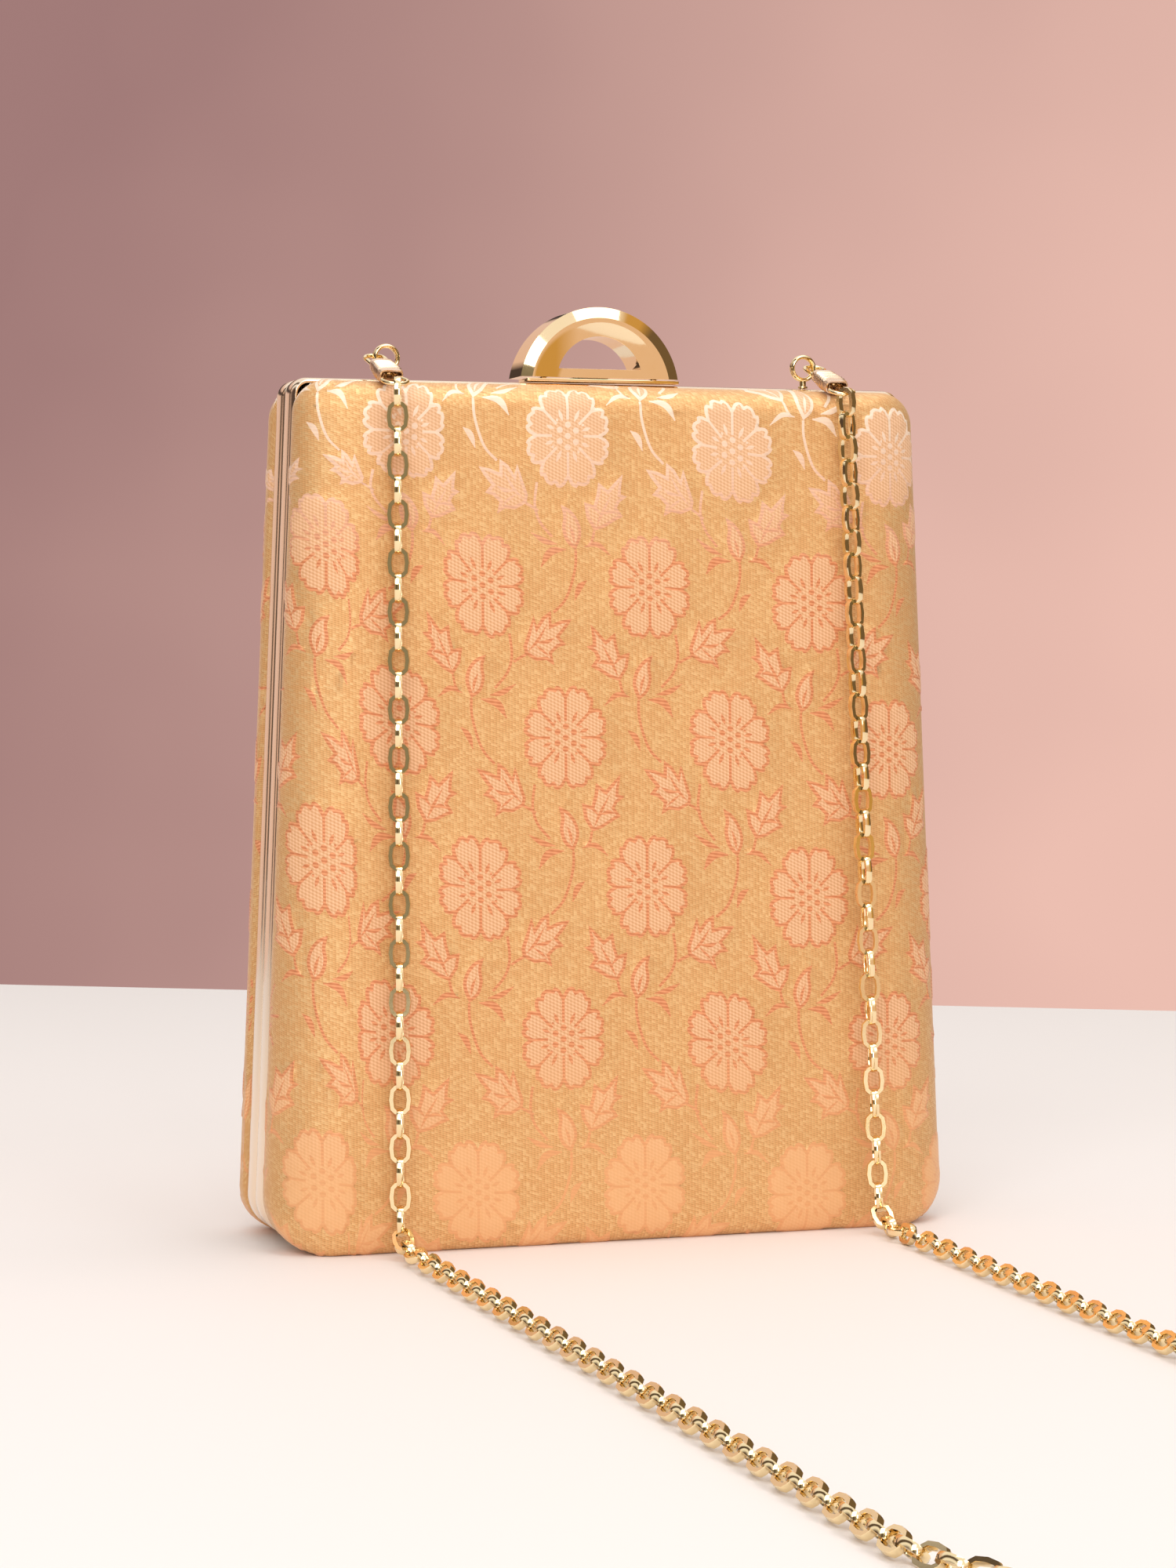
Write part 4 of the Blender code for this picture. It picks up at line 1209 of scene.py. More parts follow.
# %% [markdown]
# ## Frames
#
# Each frame is a channel bent round the box: a rim at the seam, an outer band and a small lip that
# pins the cloth's edge. A channel is easiest as a section carried round the outline, then given
# its wall by Solidify and its soft edges by Bevel.

# %% Frames
FRAME_TOP_RADIUS = 3.8
FRAME_BOTTOM_RADIUS = 8.0
SMALLEST_RADIUS = 1.0
FRAME_WALL = 0.7
FRAME_SECTION = (
    (5.0, 0.15), (0.9, 0.15), (0.3, 0.5), (0.0, 2.0), (0.0, 5.8), (0.3, 7.4), (0.8, 8.0),
    (1.3, 8.0))


def frame_piece(node, body, facing):
    """Channel from its section, each point of which is an inset and a depth from the seam."""
    rings = []
    for inset, depth in FRAME_SECTION:
        ring = outline(
            inset, inset, inset, max(FRAME_TOP_RADIUS - inset, SMALLEST_RADIUS),
            max(FRAME_BOTTOM_RADIUS - inset, SMALLEST_RADIUS), False)
        rings.append([Vector((p.x, facing * depth, p.y)) for p in ring])
    built = lofted(rings, False)
    if facing > 0:
        bmesh.ops.reverse_faces(built, faces=built.faces)
    piece = object_from(built)
    wall = piece.modifiers.new("wall", "SOLIDIFY")
    wall.thickness = FRAME_WALL * MM
    wall.offset = -1.0
    wall.use_even_offset = True
    soften(piece, 0.12, 2, 40.0)
    smooth(piece, 40.0)
    return dress(piece, node + "_channel", body, FRAME_GOLD, [node])


frame_piece("front_frame", "front_half", -1)
frame_piece("back_frame", "back_half", 1)

# %% [markdown]
# ## Arch clasp
#
# The clasp is a thick disc cut off flat below, with a wide chamfer round its front and back, faces
# hollowed toward the middle, and an arched finger hole. A cylinder gives the disc, an inset gives
# the chamfer, and Booleans cut the flat, the hollows, the hole and the room for the base's ears.

# %% Arch clasp
ARCH_RADIUS = 18.75
ARCH_HEIGHT = 15.8
ARCH_DEPTH = 11.0
ARCH_BOTTOM = BAG_HEIGHT + 1.5
ARCH_MIDDLE = ARCH_BOTTOM + ARCH_HEIGHT - ARCH_RADIUS
CHAMFER_WIDTH = 2.4
CHAMFER_DEPTH = 0.9
HOLE_RADIUS = 10.1
HOLE_HEIGHT = 7.3
HOLE_SILL = ARCH_BOTTOM + 2.0
DISH_RADIUS = 16.0
DISH_DEPTH = 1.5
DISH_STEP = 0.9
DISH_STEPS = 7
CLASP_PIN = Vector((0.0, -3.6, ARCH_BOTTOM + 1.0))
PIN_BORE = 0.45
EAR_X = 13.0


def below(height):
    """Block that cuts away all below a height."""
    return block((-30.0, -20.0, height - 40.0), (30.0, 20.0, height))


def dish_cutter(sign):
    """Shallow dome that hollows one face of the arch toward its hole."""
    middle = (0.0, sign * (ARCH_DEPTH / 2 + 2.0), ARCH_MIDDLE)
    cutter = cylinder(DISH_RADIUS, 4.0, middle, "Y", 72)
    bpy.ops.object.mode_set(mode="EDIT")
    select_where(cutter, lambda centre, normal: normal.y * sign < -0.9, "FACE")
    for step in range(DISH_STEPS):
        near, far = DISH_RADIUS - step * DISH_STEP, DISH_RADIUS - (step + 1) * DISH_STEP
        drop = DISH_DEPTH * (near ** 2 - far ** 2) / DISH_RADIUS ** 2
        bpy.ops.mesh.inset(thickness=DISH_STEP * MM, depth=drop * MM)
    bpy.ops.object.mode_set(mode="OBJECT")
    return cutter


def arch_piece():
    length = ARCH_DEPTH - 2 * CHAMFER_DEPTH
    arch = cylinder(ARCH_RADIUS, length, (0.0, 0.0, ARCH_MIDDLE), "Y", 120)
    bpy.ops.object.mode_set(mode="EDIT")
    for sign in (-1.0, 1.0):
        select_where(arch, lambda centre, normal, sign=sign: normal.y * sign > 0.9, "FACE")
        bpy.ops.mesh.inset(thickness=CHAMFER_WIDTH * MM, depth=0.0)
        bpy.ops.transform.translate(value=(0.0, sign * CHAMFER_DEPTH * MM, 0.0))
    bpy.ops.object.mode_set(mode="OBJECT")
    cut_by(arch, below(ARCH_BOTTOM))
    for sign in (-1.0, 1.0):
        cut_by(arch, dish_cutter(sign))
    hole = cylinder(HOLE_RADIUS, 30.0, (0.0, 0.0, HOLE_SILL + HOLE_HEIGHT - HOLE_RADIUS), "Y", 72)
    cut_by(hole, below(HOLE_SILL))
    cut_by(arch, hole)
    for x in (-EAR_X, EAR_X):
        low, high = (x - 0.8, -4.7, ARCH_BOTTOM - 1.0), (x + 0.8, -2.5, CLASP_PIN.z + 1.1)
        cut_by(arch, block(low, high))
    cut_by(arch, cylinder(PIN_BORE, 28.6, CLASP_PIN, "X", 16))
    outward(arch)
    soften(arch, 0.22, 3)
    smooth(arch, 12.0)
    return dress(arch, "arch_clasp", "arch", CLASP_GOLD, ["clasp_arch"])


arch_piece()

# %% [markdown]
# ## Small flat parts of the clasp
#
# The base plate, the catch plate and the latch tongue are punched from sheet, so each is a plate
# with its edges broken. The base has two ears, which hold the pin that the arch tips on.

# %% Clasp plates
EAR_HALF_WIDTH = 0.5


def base_piece():
    plate = block((-17.8, -7.4, 190.3), (17.8, -0.45, 191.0))
    for x in (-EAR_X, EAR_X):
        low, high = (x - EAR_HALF_WIDTH, -4.4, 190.7), (x + EAR_HALF_WIDTH, -2.8, CLASP_PIN.z + 0.8)
        cut_by(plate, block(low, high), "UNION")
    cut_by(plate, cylinder(PIN_BORE, 40.0, CLASP_PIN, "X", 16))
    outward(plate)
    soften(plate, 0.12)
    smooth(plate)
    return dress(plate, "clasp_plate", "front_half", CLASP_GOLD, ["clasp_base"])


def sheet_piece(low, high):
    plate = block(low, high)
    soften(plate, 0.08)
    smooth(plate)
    return plate


base_piece()
tongue = sheet_piece((-4.0, 1.5, 190.9), (4.0, 5.2, 191.2))
dress(tongue, "latch_tongue", "arch", STEEL, ["clasp_tongue"])
catch = sheet_piece((-6.0, 0.45, 190.3), (6.0, 7.4, 190.6))
dress(catch, "latch_catch", "back_half", CLASP_GOLD, ["clasp_catch"])

# %% [markdown]
# ## Pins and hinges
#
# The clasp and the hinges turn on plain steel wires. The hinge leaves are hardly seen, so the CAD
# leaves stay, and only get the frame's gold in their material slots.

# %% Pins and hinge leaves
HINGE_X = 45.0


def pin_piece(node, body, centre, radius, length):
    pin = cylinder(radius, length, centre, "X", 16)
    soften(pin, radius * 0.25)
    smooth(pin)
    return dress(pin, node + "_wire", body, STEEL, [node])


pin_piece("clasp_pin", "front_half", CLASP_PIN, 0.35, 28.0)
for side, x in (("left", -HINGE_X), ("right", HINGE_X)):
    pin_piece("hinge_pin_" + side, "front_half", (x, 0.0, 1.1), 0.3, 24.0)
leaves = [piece for node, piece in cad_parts.items() if "_leaf_" in node]
for leaf in leaves:
    leaf.data.materials.clear()
    leaf.data.materials.append(FRAME_GOLD)
print("hinge leaves", len(leaves))

# %% [markdown]
# ## Eyes
#
# Each eye is a band rolled into a ring and riveted to the frame. A torus stretched along its axis
# gives the rolled band, and a small stepped cylinder gives the rivet.

# %% Eyes
EYE_X = 49.2
EYE_Y = -3.5
EYE_Z = BAG_HEIGHT + 4.9
RIVET_BOTTOM = 190.3


def eye_piece(side_name, side):
    centre = Vector((side * EYE_X, EYE_Y, EYE_Z))
    bpy.ops.mesh.primitive_torus_add(
        major_segments=48, minor_segments=16, major_radius=2.6 * MM, minor_radius=0.5 * MM,
        location=centre * MM, rotation=(math.pi / 2, 0.0, 0.0))
    ring = bpy.context.active_object
    ring.scale = (1.0, 1.0, 2.1)
    bpy.ops.object.transform_apply(location=True, rotation=True, scale=True)
    foot_top = EYE_Z - 2.75
    foot_middle = (centre.x, centre.y, (foot_top + RIVET_BOTTOM) / 2)
    foot = cylinder(0.75, foot_top - RIVET_BOTTOM, foot_middle, "Z", 24)
    flange = cylinder(1.1, 0.5, (centre.x, centre.y, RIVET_BOTTOM + 0.25), "Z", 24)
    soften(flange, 0.15)
    eye = joined([ring, foot, flange])
    smooth(eye)
    return dress(
        eye, "ring_eye_" + side_name, "front_half", CHAIN_GOLD, ["eye_" + side_name])


for side_name, side in (("left", -1), ("right", 1)):
    eye_piece(side_name, side)

# %% [markdown]
# ## Wires and where a hook lies
#
# A hook is drawn in its own frame, along X, and then laid over the edge of the bag. Its wires are
# smooth curves with a round section, turned into meshes.

# %% Hook wires and matrix
HOOK_TILT = math.radians(20.0)
HOOK_ANCHOR = 1.3


def hook_matrix(side):
    """Hook's own frame: X along it toward the chain, Y across it, outward, Z lifted off it."""
    along = Vector((0.0, -math.cos(HOOK_TILT), -math.sin(HOOK_TILT)))
    across = Vector((side, 0.0, 0.0))
    lift = Vector((0.0, -math.sin(HOOK_TILT), math.cos(HOOK_TILT)))
    turn = Matrix((along, across, lift)).transposed().to_4x4()
    start = Vector((side * (EYE_X + 2.6), EYE_Y, EYE_Z)) - along * HOOK_ANCHOR
    return Matrix.Translation(start * MM) @ turn @ Matrix.Scale(MM, 4)


def wire(points, radius, cyclic=False, order=4):
    """Round wire along a smooth curve through control points, as a mesh."""
    curve = bpy.data.curves.new("wire", "CURVE")
    curve.dimensions = "3D"
    curve.bevel_depth = radius
    curve.bevel_resolution = 4
    curve.resolution_u = 8
    curve.use_fill_caps = True
    spline = curve.splines.new("NURBS")
    spline.points.add(len(points) - 1)
    for knot, point in zip(spline.points, points):
        knot.co = (*point, 1.0)
    spline.order_u = order
    spline.use_cyclic_u = cyclic
    spline.use_endpoint_u = not cyclic
    made = bpy.data.objects.new("wire", curve)
    bpy.context.scene.collection.objects.link(made)
    only(made)
    bpy.ops.object.convert(target="MESH")
    return bpy.context.active_object


def settle(piece, matrix):
    """Move a piece's mesh by a matrix, keeping its faces outward."""
    piece.data.transform(matrix)
    outward(piece)
    smooth(piece, 45.0)
    return piece

# %% [markdown]
# ## Ribbed sleeve
#
# The sleeve is folded from sheet, with grooves rolled across it. Here a rounded oblong ring is
# drawn out step by step in edit mode and scaled a little at each step, which gives both the
# swelling and the grooves, and Solidify gives the sheet's thickness.

# %% Ribbed sleeve
SLEEVE_START = 7.4
SLEEVE_END = 16.6
SLEEVE_HALF_WIDTH = 2.6
SLEEVE_HALF_DEPTH = 1.5
SLEEVE_STEPS = 42
SLEEVE_RIBS = 7.0
SLEEVE_FLARE = 0.14
RIB_SHARE = 0.16
RIBBED_PART = (0.14, 0.86)
SQUARENESS = 0.55


def sleeve_size(share):
    """Width and depth of the sleeve, next to those of its start."""
    ribbed = RIBBED_PART[0] < share < RIBBED_PART[1]
    wave = (1.0 - math.cos(2 * math.pi * share * SLEEVE_RIBS)) / 2
    groove = RIB_SHARE * wave if ribbed else 0.0
    flare = 1.0 + SLEEVE_FLARE * math.sin(math.pi * share ** 1.6)
    return flare * (1.0 - groove * 0.5), flare * (1.0 - groove * 2.0)


def sleeve_tube():
    """Tapered tube with rolled grooves, drawn out ring by ring along its own X."""
    bpy.ops.mesh.primitive_circle_add(
        vertices=32, radius=1.0, location=(SLEEVE_START, 0.0, 0.0),
        rotation=(0.0, math.pi / 2, 0.0))
    tube = bpy.context.active_object
    bpy.ops.object.transform_apply(location=True, rotation=True, scale=True)
    for vert in tube.data.vertices:
        across = math.copysign(abs(vert.co.y) ** SQUARENESS, vert.co.y)
        lift = math.copysign(abs(vert.co.z) ** SQUARENESS, vert.co.z)
        vert.co.y = across * SLEEVE_HALF_WIDTH
        vert.co.z = lift * SLEEVE_HALF_DEPTH
    bpy.ops.object.mode_set(mode="EDIT")
    bpy.ops.mesh.select_mode(type="VERT")
    bpy.ops.mesh.select_all(action="SELECT")
    onward = ((SLEEVE_END - SLEEVE_START) / SLEEVE_STEPS, 0.0, 0.0)
    width = deep = 1.0
    for step in range(1, SLEEVE_STEPS + 1):
        next_width, next_deep = sleeve_size(step / SLEEVE_STEPS)
        bpy.ops.mesh.extrude_region_move(TRANSFORM_OT_translate={"value": onward})
        bpy.ops.transform.resize(value=(1.0, next_width / width, next_deep / deep))
        width, deep = next_width, next_deep
    bpy.ops.object.mode_set(mode="OBJECT")
    outward(tube)
    wall = tube.modifiers.new("wall", "SOLIDIFY")
    wall.thickness = 0.33
    wall.offset = -1.0
    apply_all(tube)
    return tube

# %% [markdown]
# ## Spring hooks
#
# A bent wire goes round the eye, a sprung gate closes its mouth, and both go into the sleeve. A
# wire loop leaves the sleeve and carries the chain. Only the gate rides on its own body; the rest
# stays with the front half.

# %% Hooks
BEND_WIRE, GATE_WIRE, LOOP_WIRE = 0.5, 0.48, 0.45
GATE_POINTS = [(3.7, 2.2, 0.0), (5.8, 2.05, 0.0), (8.0, 1.8, 0.0), (10.0, 1.6, 0.0)]


def bend_points():
    """Wire from the sleeve, round the eye, to its nose."""
    points = [(10.0, -1.6, 0.0), (6.5, -2.0, 0.0), (3.6, -2.2, 0.0)]
    for step in range(1, 8):
        angle = math.pi * step / 8
        points.append((2.2 * (1.0 - math.sin(angle) * 1.08), -2.35 * math.cos(angle), 0.0))
    return points + [(2.3, 2.3, 0.0), (2.6, 2.2, 0.0)]


def loop_points():
    """Closed loop that leaves the sleeve and comes back to it."""
    points = [(13.6, -0.9, 0.0), (15.4, -0.9, 0.0), (17.2, -1.7, 0.0)]
    for step in range(9):
        angle = math.pi * step / 8
        points.append((19.3 + 2.9 * math.sin(angle), -2.85 * math.cos(angle), 0.0))
    return points + [(17.2, 1.7, 0.0), (15.4, 0.9, 0.0), (13.6, 0.9, 0.0)]


def hook_pieces(side_name, side):
    parts = (
        ("hook_wire_", wire(bend_points(), BEND_WIRE), "hook_", "front_half", CHAIN_GOLD),
        ("hook_tongue_", wire(GATE_POINTS, GATE_WIRE), "hook_gate_", "gate_" + side_name,
         CHAIN_GOLD),
        ("chain_loop_", wire(loop_points(), LOOP_WIRE, True, 3), "hook_ring_", "front_half",
         CHAIN_GOLD),
        ("hook_barrel_", sleeve_tube(), "hook_sleeve_", "front_half", SLEEVE_GOLD))
    for name, piece, node, body, finish in parts:
        settle(piece, hook_matrix(side))
        dress(piece, name + side_name, body, finish, [node + side_name])


for side_name, side in (("left", -1), ("right", 1)):
    hook_pieces(side_name, side)

# %% [markdown]
# ## Route of the chain
#
# The route is the CAD part's: down the front from each hook, with a small bend where the chain
# meets the table, forward over the table, and round in a half circle.

# %% Chain route
LINK_LENGTH = 7.0
LINK_WIDTH = 5.0
LINK_THICKNESS = 1.4
LINK_SIDE = 1.2
LINK_PITCH = 5.25
FLOOR_HEIGHT = 2.5
RING_END = 22.1
LEFT_TABLE = Vector((-53.0, -28.4, FLOOR_HEIGHT))
RIGHT_TABLE = Vector((57.4, -30.6, FLOOR_HEIGHT))
LEFT_BEND = Vector((-50.0, -290.0, FLOOR_HEIGHT))
RIGHT_BEND = Vector((53.0, -290.0, FLOOR_HEIGHT))
BEND_STEPS = 48


def drop_top(side, foot):
    """Where the first link hangs in its hook's loop."""
    bar = hook_matrix(side) @ Vector((RING_END, 0.0, 0.0)) / MM
    down = (foot - bar).normalized()
    overhang = (LINK_LENGTH - LINK_PITCH - 0.96) / 2
    return bar - down * (0.96 / 2 + 0.45 + 0.3 - overhang)


def filleted(before, corner, after, radius, steps=8):
    """Arc that rounds one corner of the route."""
    back = (before - corner).normalized()
    onward = (after - corner).normalized()
    opening = back.angle(onward)
    reach = radius / math.tan(opening / 2)
    centre = corner + (back + onward).normalized() * radius / math.sin(opening / 2)
    start = corner + back * reach - centre
    end = corner + onward * reach - centre
    sweep = start.angle(end)
    points = []
    for step in range(steps + 1):
        share = step / steps
        arc = start * math.sin(sweep * (1 - share)) + end * math.sin(sweep * share)
        points.append(centre + arc / math.sin(sweep))
    return points


def chain_route():
    """Points of the route, their distances along it, and where each stretch ends."""
    left_top = drop_top(-1, LEFT_TABLE)
    right_top = drop_top(1, RIGHT_TABLE)
    left_arc = filleted(left_top, LEFT_TABLE, LEFT_BEND, 5.0)
    right_arc = filleted(RIGHT_BEND, RIGHT_TABLE, right_top, 5.0)
    centre = (LEFT_BEND + RIGHT_BEND) / 2
    radius = (RIGHT_BEND - LEFT_BEND).length / 2
    bend = []
    for step in range(1, BEND_STEPS):
        angle = math.pi * step / BEND_STEPS
        bend.append(centre + radius * Vector((-math.cos(angle), -math.sin(angle), 0.0)))
    points = [left_top] + left_arc + [LEFT_BEND] + bend + [RIGHT_BEND] + right_arc + [right_top]
    lengths = [0.0]
    for first, second in zip(points, points[1:]):
        lengths.append(lengths[-1] + (second - first).length)
    run = len(left_arc)
    marks = (run, run + 1, run + 2 + len(bend), run + 3 + len(bend))
    return points, lengths, [lengths[mark] for mark in marks] + [lengths[-1]]


def route_point(points, lengths, distance):
    """The point at a distance along the route."""
    for index in range(1, len(lengths)):
        if distance <= lengths[index] or index == len(lengths) - 1:
            span = lengths[index] - lengths[index - 1]
            return points[index - 1].lerp(points[index], (distance - lengths[index - 1]) / span)


print("chain", round(chain_route()[2][-1]), "mm")

# %% [markdown]
# ## Places of the links
#
# Links follow one another at an even pitch, each turned a quarter turn from the one before. The
# whole chain is also rolled a little, differently on each drop and on the table, as in the photo.

# %% Places of the links
ROLLS = {"left": 18.0, "right": -16.0, "top": 30.0, "table": 45.0}
ROLL_BLEND = 26.0
STRETCH_SLACK = 2 * 0.96 - (LINK_LENGTH - LINK_PITCH) + 0.3


def link_roll(distance, ends):
    """Roll of the chain at a distance along it."""
    left_run, _, _, right_drop, total = ends
    if distance < (left_run + right_drop) / 2:
        start, end, share = "left", "table", ease(distance - left_run, 0.0, ROLL_BLEND)
    elif distance < right_drop:
        share = ease(ROLL_BLEND - right_drop + distance, 0.0, ROLL_BLEND)
        start, end = "table", "right"
    else:
        start, end, share = "right", "top", ease(distance, right_drop, total)
    return math.radians(mix(ROLLS[start], ROLLS[end], share))


def link_turn(along, heading, roll):
    """Matrix that lays a link along the chain and rolls it."""
    side = heading.normalized().cross(Vector((0.0, 0.0, 1.0)))
    flat = side.cross(along).normalized()
    side = along.cross(flat)
    flat = flat * math.cos(roll) + side * math.sin(roll)
    side = along.cross(flat)
    return Matrix((along, -side, flat)).transposed().to_4x4()


def link_places():
    """Matrices of the links of each stretch, in millimetres."""
    points, lengths, ends = chain_route()
    joins = len(ends) - 1
    free = lengths[-1] + joins * STRETCH_SLACK
    count = round(free / LINK_PITCH)
    if count % 2 == 0:
        count += 1
    pitch = free / count
    stretches = [[] for _ in ends]
    start = 0.0
    current = 0
    for index in range(count):
        stretch = min(sum(1 for end in ends if start + pitch / 2 > end), joins)
        if stretch != current:
            start -= STRETCH_SLACK
            current = stretch
        near = route_point(points, lengths, start)
        far = route_point(points, lengths, start + pitch)
        along = (far - near).normalized()
        before = route_point(points, lengths, max(start - pitch, 0.0))
        heading = Vector((far.x - before.x, far.y - before.y, 0.0))
        if abs(along.z) > 0.3:
            heading = Vector((0.0, -1.0 if current < 2 else 1.0, 0.0))
        roll = link_roll(start + pitch / 2, ends) + (math.pi / 2 if index % 2 == 0 else 0.0)
        turn = link_turn(along, heading, roll)
        stretches[current].append(Matrix.Translation((near + far) / 2) @ turn)
        start += pitch
    return stretches

# %% [markdown]
# ## Chain links
#
# One flat oval link is modelled once, from a torus with only 72 faces, because it is repeated some
# two hundred times. It is pressed flat, then pulled long in edit mode, and copied to every place.

# %% Chain links
LINK_MIDDLE = (LINK_WIDTH - LINK_SIDE) / 2
FLAT_SHARE = 0.36
STRETCHES = ("drop_left", "run_left", "bend", "run_right", "drop_right")


def link_model():
    """Flat oval link at the origin, in millimetres: a torus pressed flat and pulled long."""
    bpy.ops.mesh.primitive_torus_add(
        major_segments=12, minor_segments=6, major_radius=LINK_MIDDLE, minor_radius=LINK_SIDE / 2)
    link = bpy.context.active_object
    for vert in link.data.vertices:
        ring = Vector((vert.co.x, vert.co.y))
        if abs(vert.co.z) > 0.1:
            vert.co.z = math.copysign(LINK_THICKNESS / 2, vert.co.z)
            away = math.copysign(LINK_SIDE * FLAT_SHARE, ring.length - LINK_MIDDLE)
            vert.co.x, vert.co.y = ring.normalized() * (LINK_MIDDLE + away)
    bpy.ops.object.mode_set(mode="EDIT")
    for sign in (-1.0, 1.0):
        select_where(link, lambda spot, sign=sign: spot.x * sign > 0.05)
        bpy.ops.transform.translate(value=(sign * (LINK_LENGTH - LINK_WIDTH) / 2, 0.0, 0.0))
    bpy.ops.object.mode_set(mode="OBJECT")
    return link


def chain_pieces():
    link = link_model()
    for name, matrices in zip(STRETCHES, link_places()):
        built = bmesh.new()
        for matrix in matrices:
            copy = link.data.copy()
            copy.transform(Matrix.Scale(MM, 4) @ matrix)
            built.from_mesh(copy)
            bpy.data.meshes.remove(copy)
        bmesh.ops.recalc_face_normals(built, faces=built.faces)
        piece = object_from(built)
        smooth(piece, 60.0)
        dress(piece, "links_" + name, "front_half", CHAIN_GOLD, ["chain_" + name])
        print(len(matrices), "links")
    bpy.data.objects.remove(link, do_unlink=True)


chain_pieces()

# %% [markdown]
# ## Table top
#
# A pale table top ends a little behind the bag. Its back edge runs at a slant, so it is set out
# from two points of that edge.

# %% Table top
TABLE_LEFT = Vector((-0.042, 0.606, 0.0))
TABLE_RIGHT = Vector((0.343, 0.377, 0.0))
TABLE_HALF_WIDTH = 0.9
TABLE_DEPTH = 1.5
TABLE_COLOUR = (0.91, 0.845, 0.815, 1.0)


def stage_floor():
    along = (TABLE_RIGHT - TABLE_LEFT).normalized()
    forward = Vector((along.y, -along.x, 0.0))
    middle = (TABLE_LEFT + TABLE_RIGHT) / 2
    corners = [middle - along * TABLE_HALF_WIDTH, middle + along * TABLE_HALF_WIDTH]
    corners += [corner + forward * TABLE_DEPTH for corner in reversed(corners)]
    mesh = bpy.data.meshes.new("table_top")
    mesh.from_pydata(corners, [], [(3, 2, 1, 0)])
    floor = new_object(mesh, "table_top")
    material, tree, shader = new_material("table_top")
    shader.inputs["Base Color"].default_value = TABLE_COLOUR
    shader.inputs["Roughness"].default_value = 0.6
    floor.data.materials.append(material)


stage_floor()

# %% [markdown]
# ## Wall, and what metal reflects
#
# A dusty rose wall shows beyond the table. It is the world's colour for camera rays alone. Mirror
# rays see a studio of bands instead, bright, warm and dark, since polished metal looks like its
# surroundings. All other rays see an even white fill, which lights the cloth softly.

# %% Wall and surroundings
FILL_COLOUR, FILL_STRENGTH = (1.0, 0.98, 0.96, 1.0), 0.68
WALL_DARK, WALL_BRIGHT = (0.36, 0.20, 0.19), (0.84, 0.52, 0.44)
LIGHT_PANEL = (1.0, 0.97, 0.94)


def wall_colour(tree, across, up, toward):
    """Rose wall with painted light and shade: brighter to the right and lower down, with cloudy
    variation.
    """
    cloud = placed_group(tree, DRIFT, toward, Broad=3.0, Fine=9.0)["Value"]
    share = maths(tree, "MULTIPLY_ADD", cloud, 0.9, -0.45)
    share = maths(tree, "ADD", ranged(tree, across, 0.13, 0.47, 0.0, 1.0), share)
    share = maths(tree, "ADD", share, ranged(tree, up, 0.02, 0.22, 0.0, -0.22))
    return mixed(tree, share, WALL_DARK, WALL_BRIGHT)


def between(tree, value, rise, fall):
    """Mask that is 1 between two soft borders."""
    low = ranged(tree, value, *rise, 0.0, 1.0)
    return maths(tree, "MULTIPLY", low, ranged(tree, value, *fall, 1.0, 0.0))


def studio_colour(tree, across, deep, up):
    """What polished metal sees: a warm room with light panels and dark gaps."""
    front = ranged(tree, deep, -0.6, -0.3, 1.0, 0.0)
    left = maths(tree, "MULTIPLY", ranged(tree, across, -0.16, -0.06, 1.0, 0.0), front)
    gap = maths(
        tree, "MULTIPLY", between(tree, up, (0.12, 0.15), (0.21, 0.25)),
        ranged(tree, deep, 0.55, 0.7, 0.0, 1.0))
    bands = (
        (left, (0.27, 0.24, 0.17)),
        (gap, (0.07, 0.05, 0.045)),
        (ranged(tree, up, 0.34, 0.46, 0.0, 1.0), LIGHT_PANEL),
        (ranged(tree, across, 0.42, 0.52, 0.0, 1.0), (0.62, 0.36, 0.10)),
        (ranged(tree, across, 0.62, 0.70, 0.0, 1.0), (0.17, 0.115, 0.06)),
        (ranged(tree, up, 0.62, 0.74, 0.0, 1.0), LIGHT_PANEL),
        (between(tree, across, (-0.62, -0.56), (-0.44, -0.38)), (0.10, 0.07, 0.05)),
        (ranged(tree, across, -0.85, -0.7, 1.0, 0.0), (0.09, 0.06, 0.05)))
    room = ranged(tree, deep, -0.2, 0.3, 0.0, 1.0)
    colour = mixed(tree, room, (0.82, 0.58, 0.42), (0.80, 0.56, 0.45))
    for mask, band in bands:
        colour = mixed(tree, mask, colour, band)
    return colour


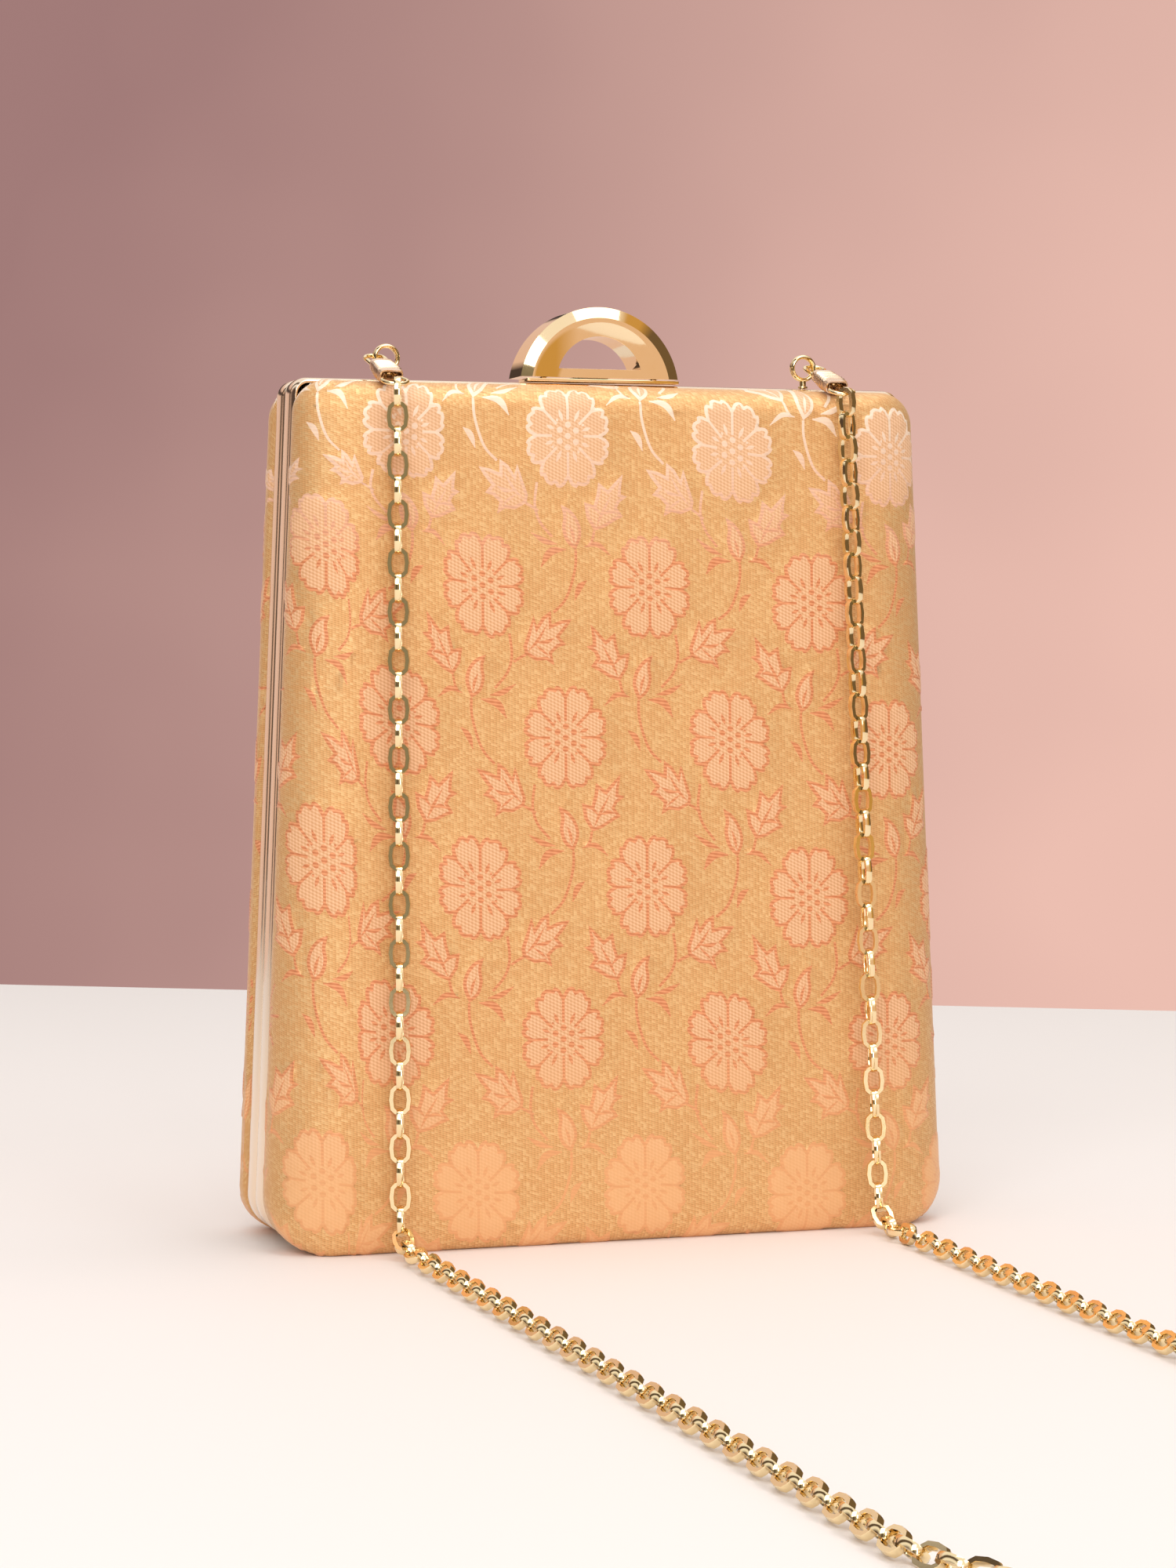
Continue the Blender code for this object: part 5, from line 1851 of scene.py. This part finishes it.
def backdrop():
    world = bpy.data.worlds.new("studio")
    bpy.context.scene.world = world
    world.use_nodes = True
    tree = world.node_tree
    tree.nodes.clear()
    toward = tree.nodes.new("ShaderNodeTexCoord").outputs["Generated"]
    parts = tree.nodes.new("ShaderNodeSeparateXYZ")
    tree.links.new(toward, parts.inputs[0])
    across, deep, up = parts.outputs
    rays = tree.nodes.new("ShaderNodeLightPath").outputs
    wall = wall_colour(tree, across, up, toward)
    seen = mixed(tree, rays["Is Glossy Ray"], wall, studio_colour(tree, across, deep, up))
    fill = tree.nodes.new("ShaderNodeBackground")
    fill.inputs["Color"].default_value = FILL_COLOUR
    fill.inputs["Strength"].default_value = FILL_STRENGTH
    shown = tree.nodes.new("ShaderNodeBackground")
    tree.links.new(seen, shown.inputs["Color"])
    straight = maths(tree, "MAXIMUM", rays["Is Camera Ray"], rays["Is Glossy Ray"])
    straight = maths(tree, "MAXIMUM", straight, rays["Is Transmission Ray"])
    choice = tree.nodes.new("ShaderNodeMixShader")
    out = tree.nodes.new("ShaderNodeOutputWorld")
    for socket, value in zip(choice.inputs, (straight, fill.outputs[0], shown.outputs[0])):
        tree.links.new(value, socket)
    tree.links.new(choice.outputs[0], out.inputs["Surface"])
    print("world", len(tree.nodes), "nodes")


backdrop()

# %% [markdown]
# ## Lamps
#
# Four soft boxes light the bag: a large one from the front left, a weaker one from the right, a
# narrow one that draws a brighter band down the cloth, and one from above.

# %% Lamps
def soft_box(name, location, size, power):
    """Rectangular lamp aimed at the middle of the bag."""
    data = bpy.data.lights.new(name, "AREA")
    data.shape = "RECTANGLE"
    data.size, data.size_y = size
    data.energy = power
    box = bpy.data.objects.new(name, data)
    box.location = location
    aim = Vector((0.0, 0.0, 0.1)) - Vector(location)
    box.rotation_euler = aim.to_track_quat("-Z", "Y").to_euler()
    bpy.context.scene.collection.objects.link(box)
    print(name, power, "W")


soft_box("key_left", (-0.65, -1.1, 0.98), (0.7, 0.8), 6.3)
soft_box("fill_right", (0.45, -1.1, 1.05), (0.6, 0.5), 1.6)
soft_box("strip", (-0.2, -1.5, 0.3), (0.14, 0.9), 2.0)
soft_box("top", (0.1, -0.1, 1.1), (0.8, 0.6), 3.5)

# %% Finish
bpy.context.scene.view_settings.view_transform = "Standard"
bpy.context.view_layer.update()
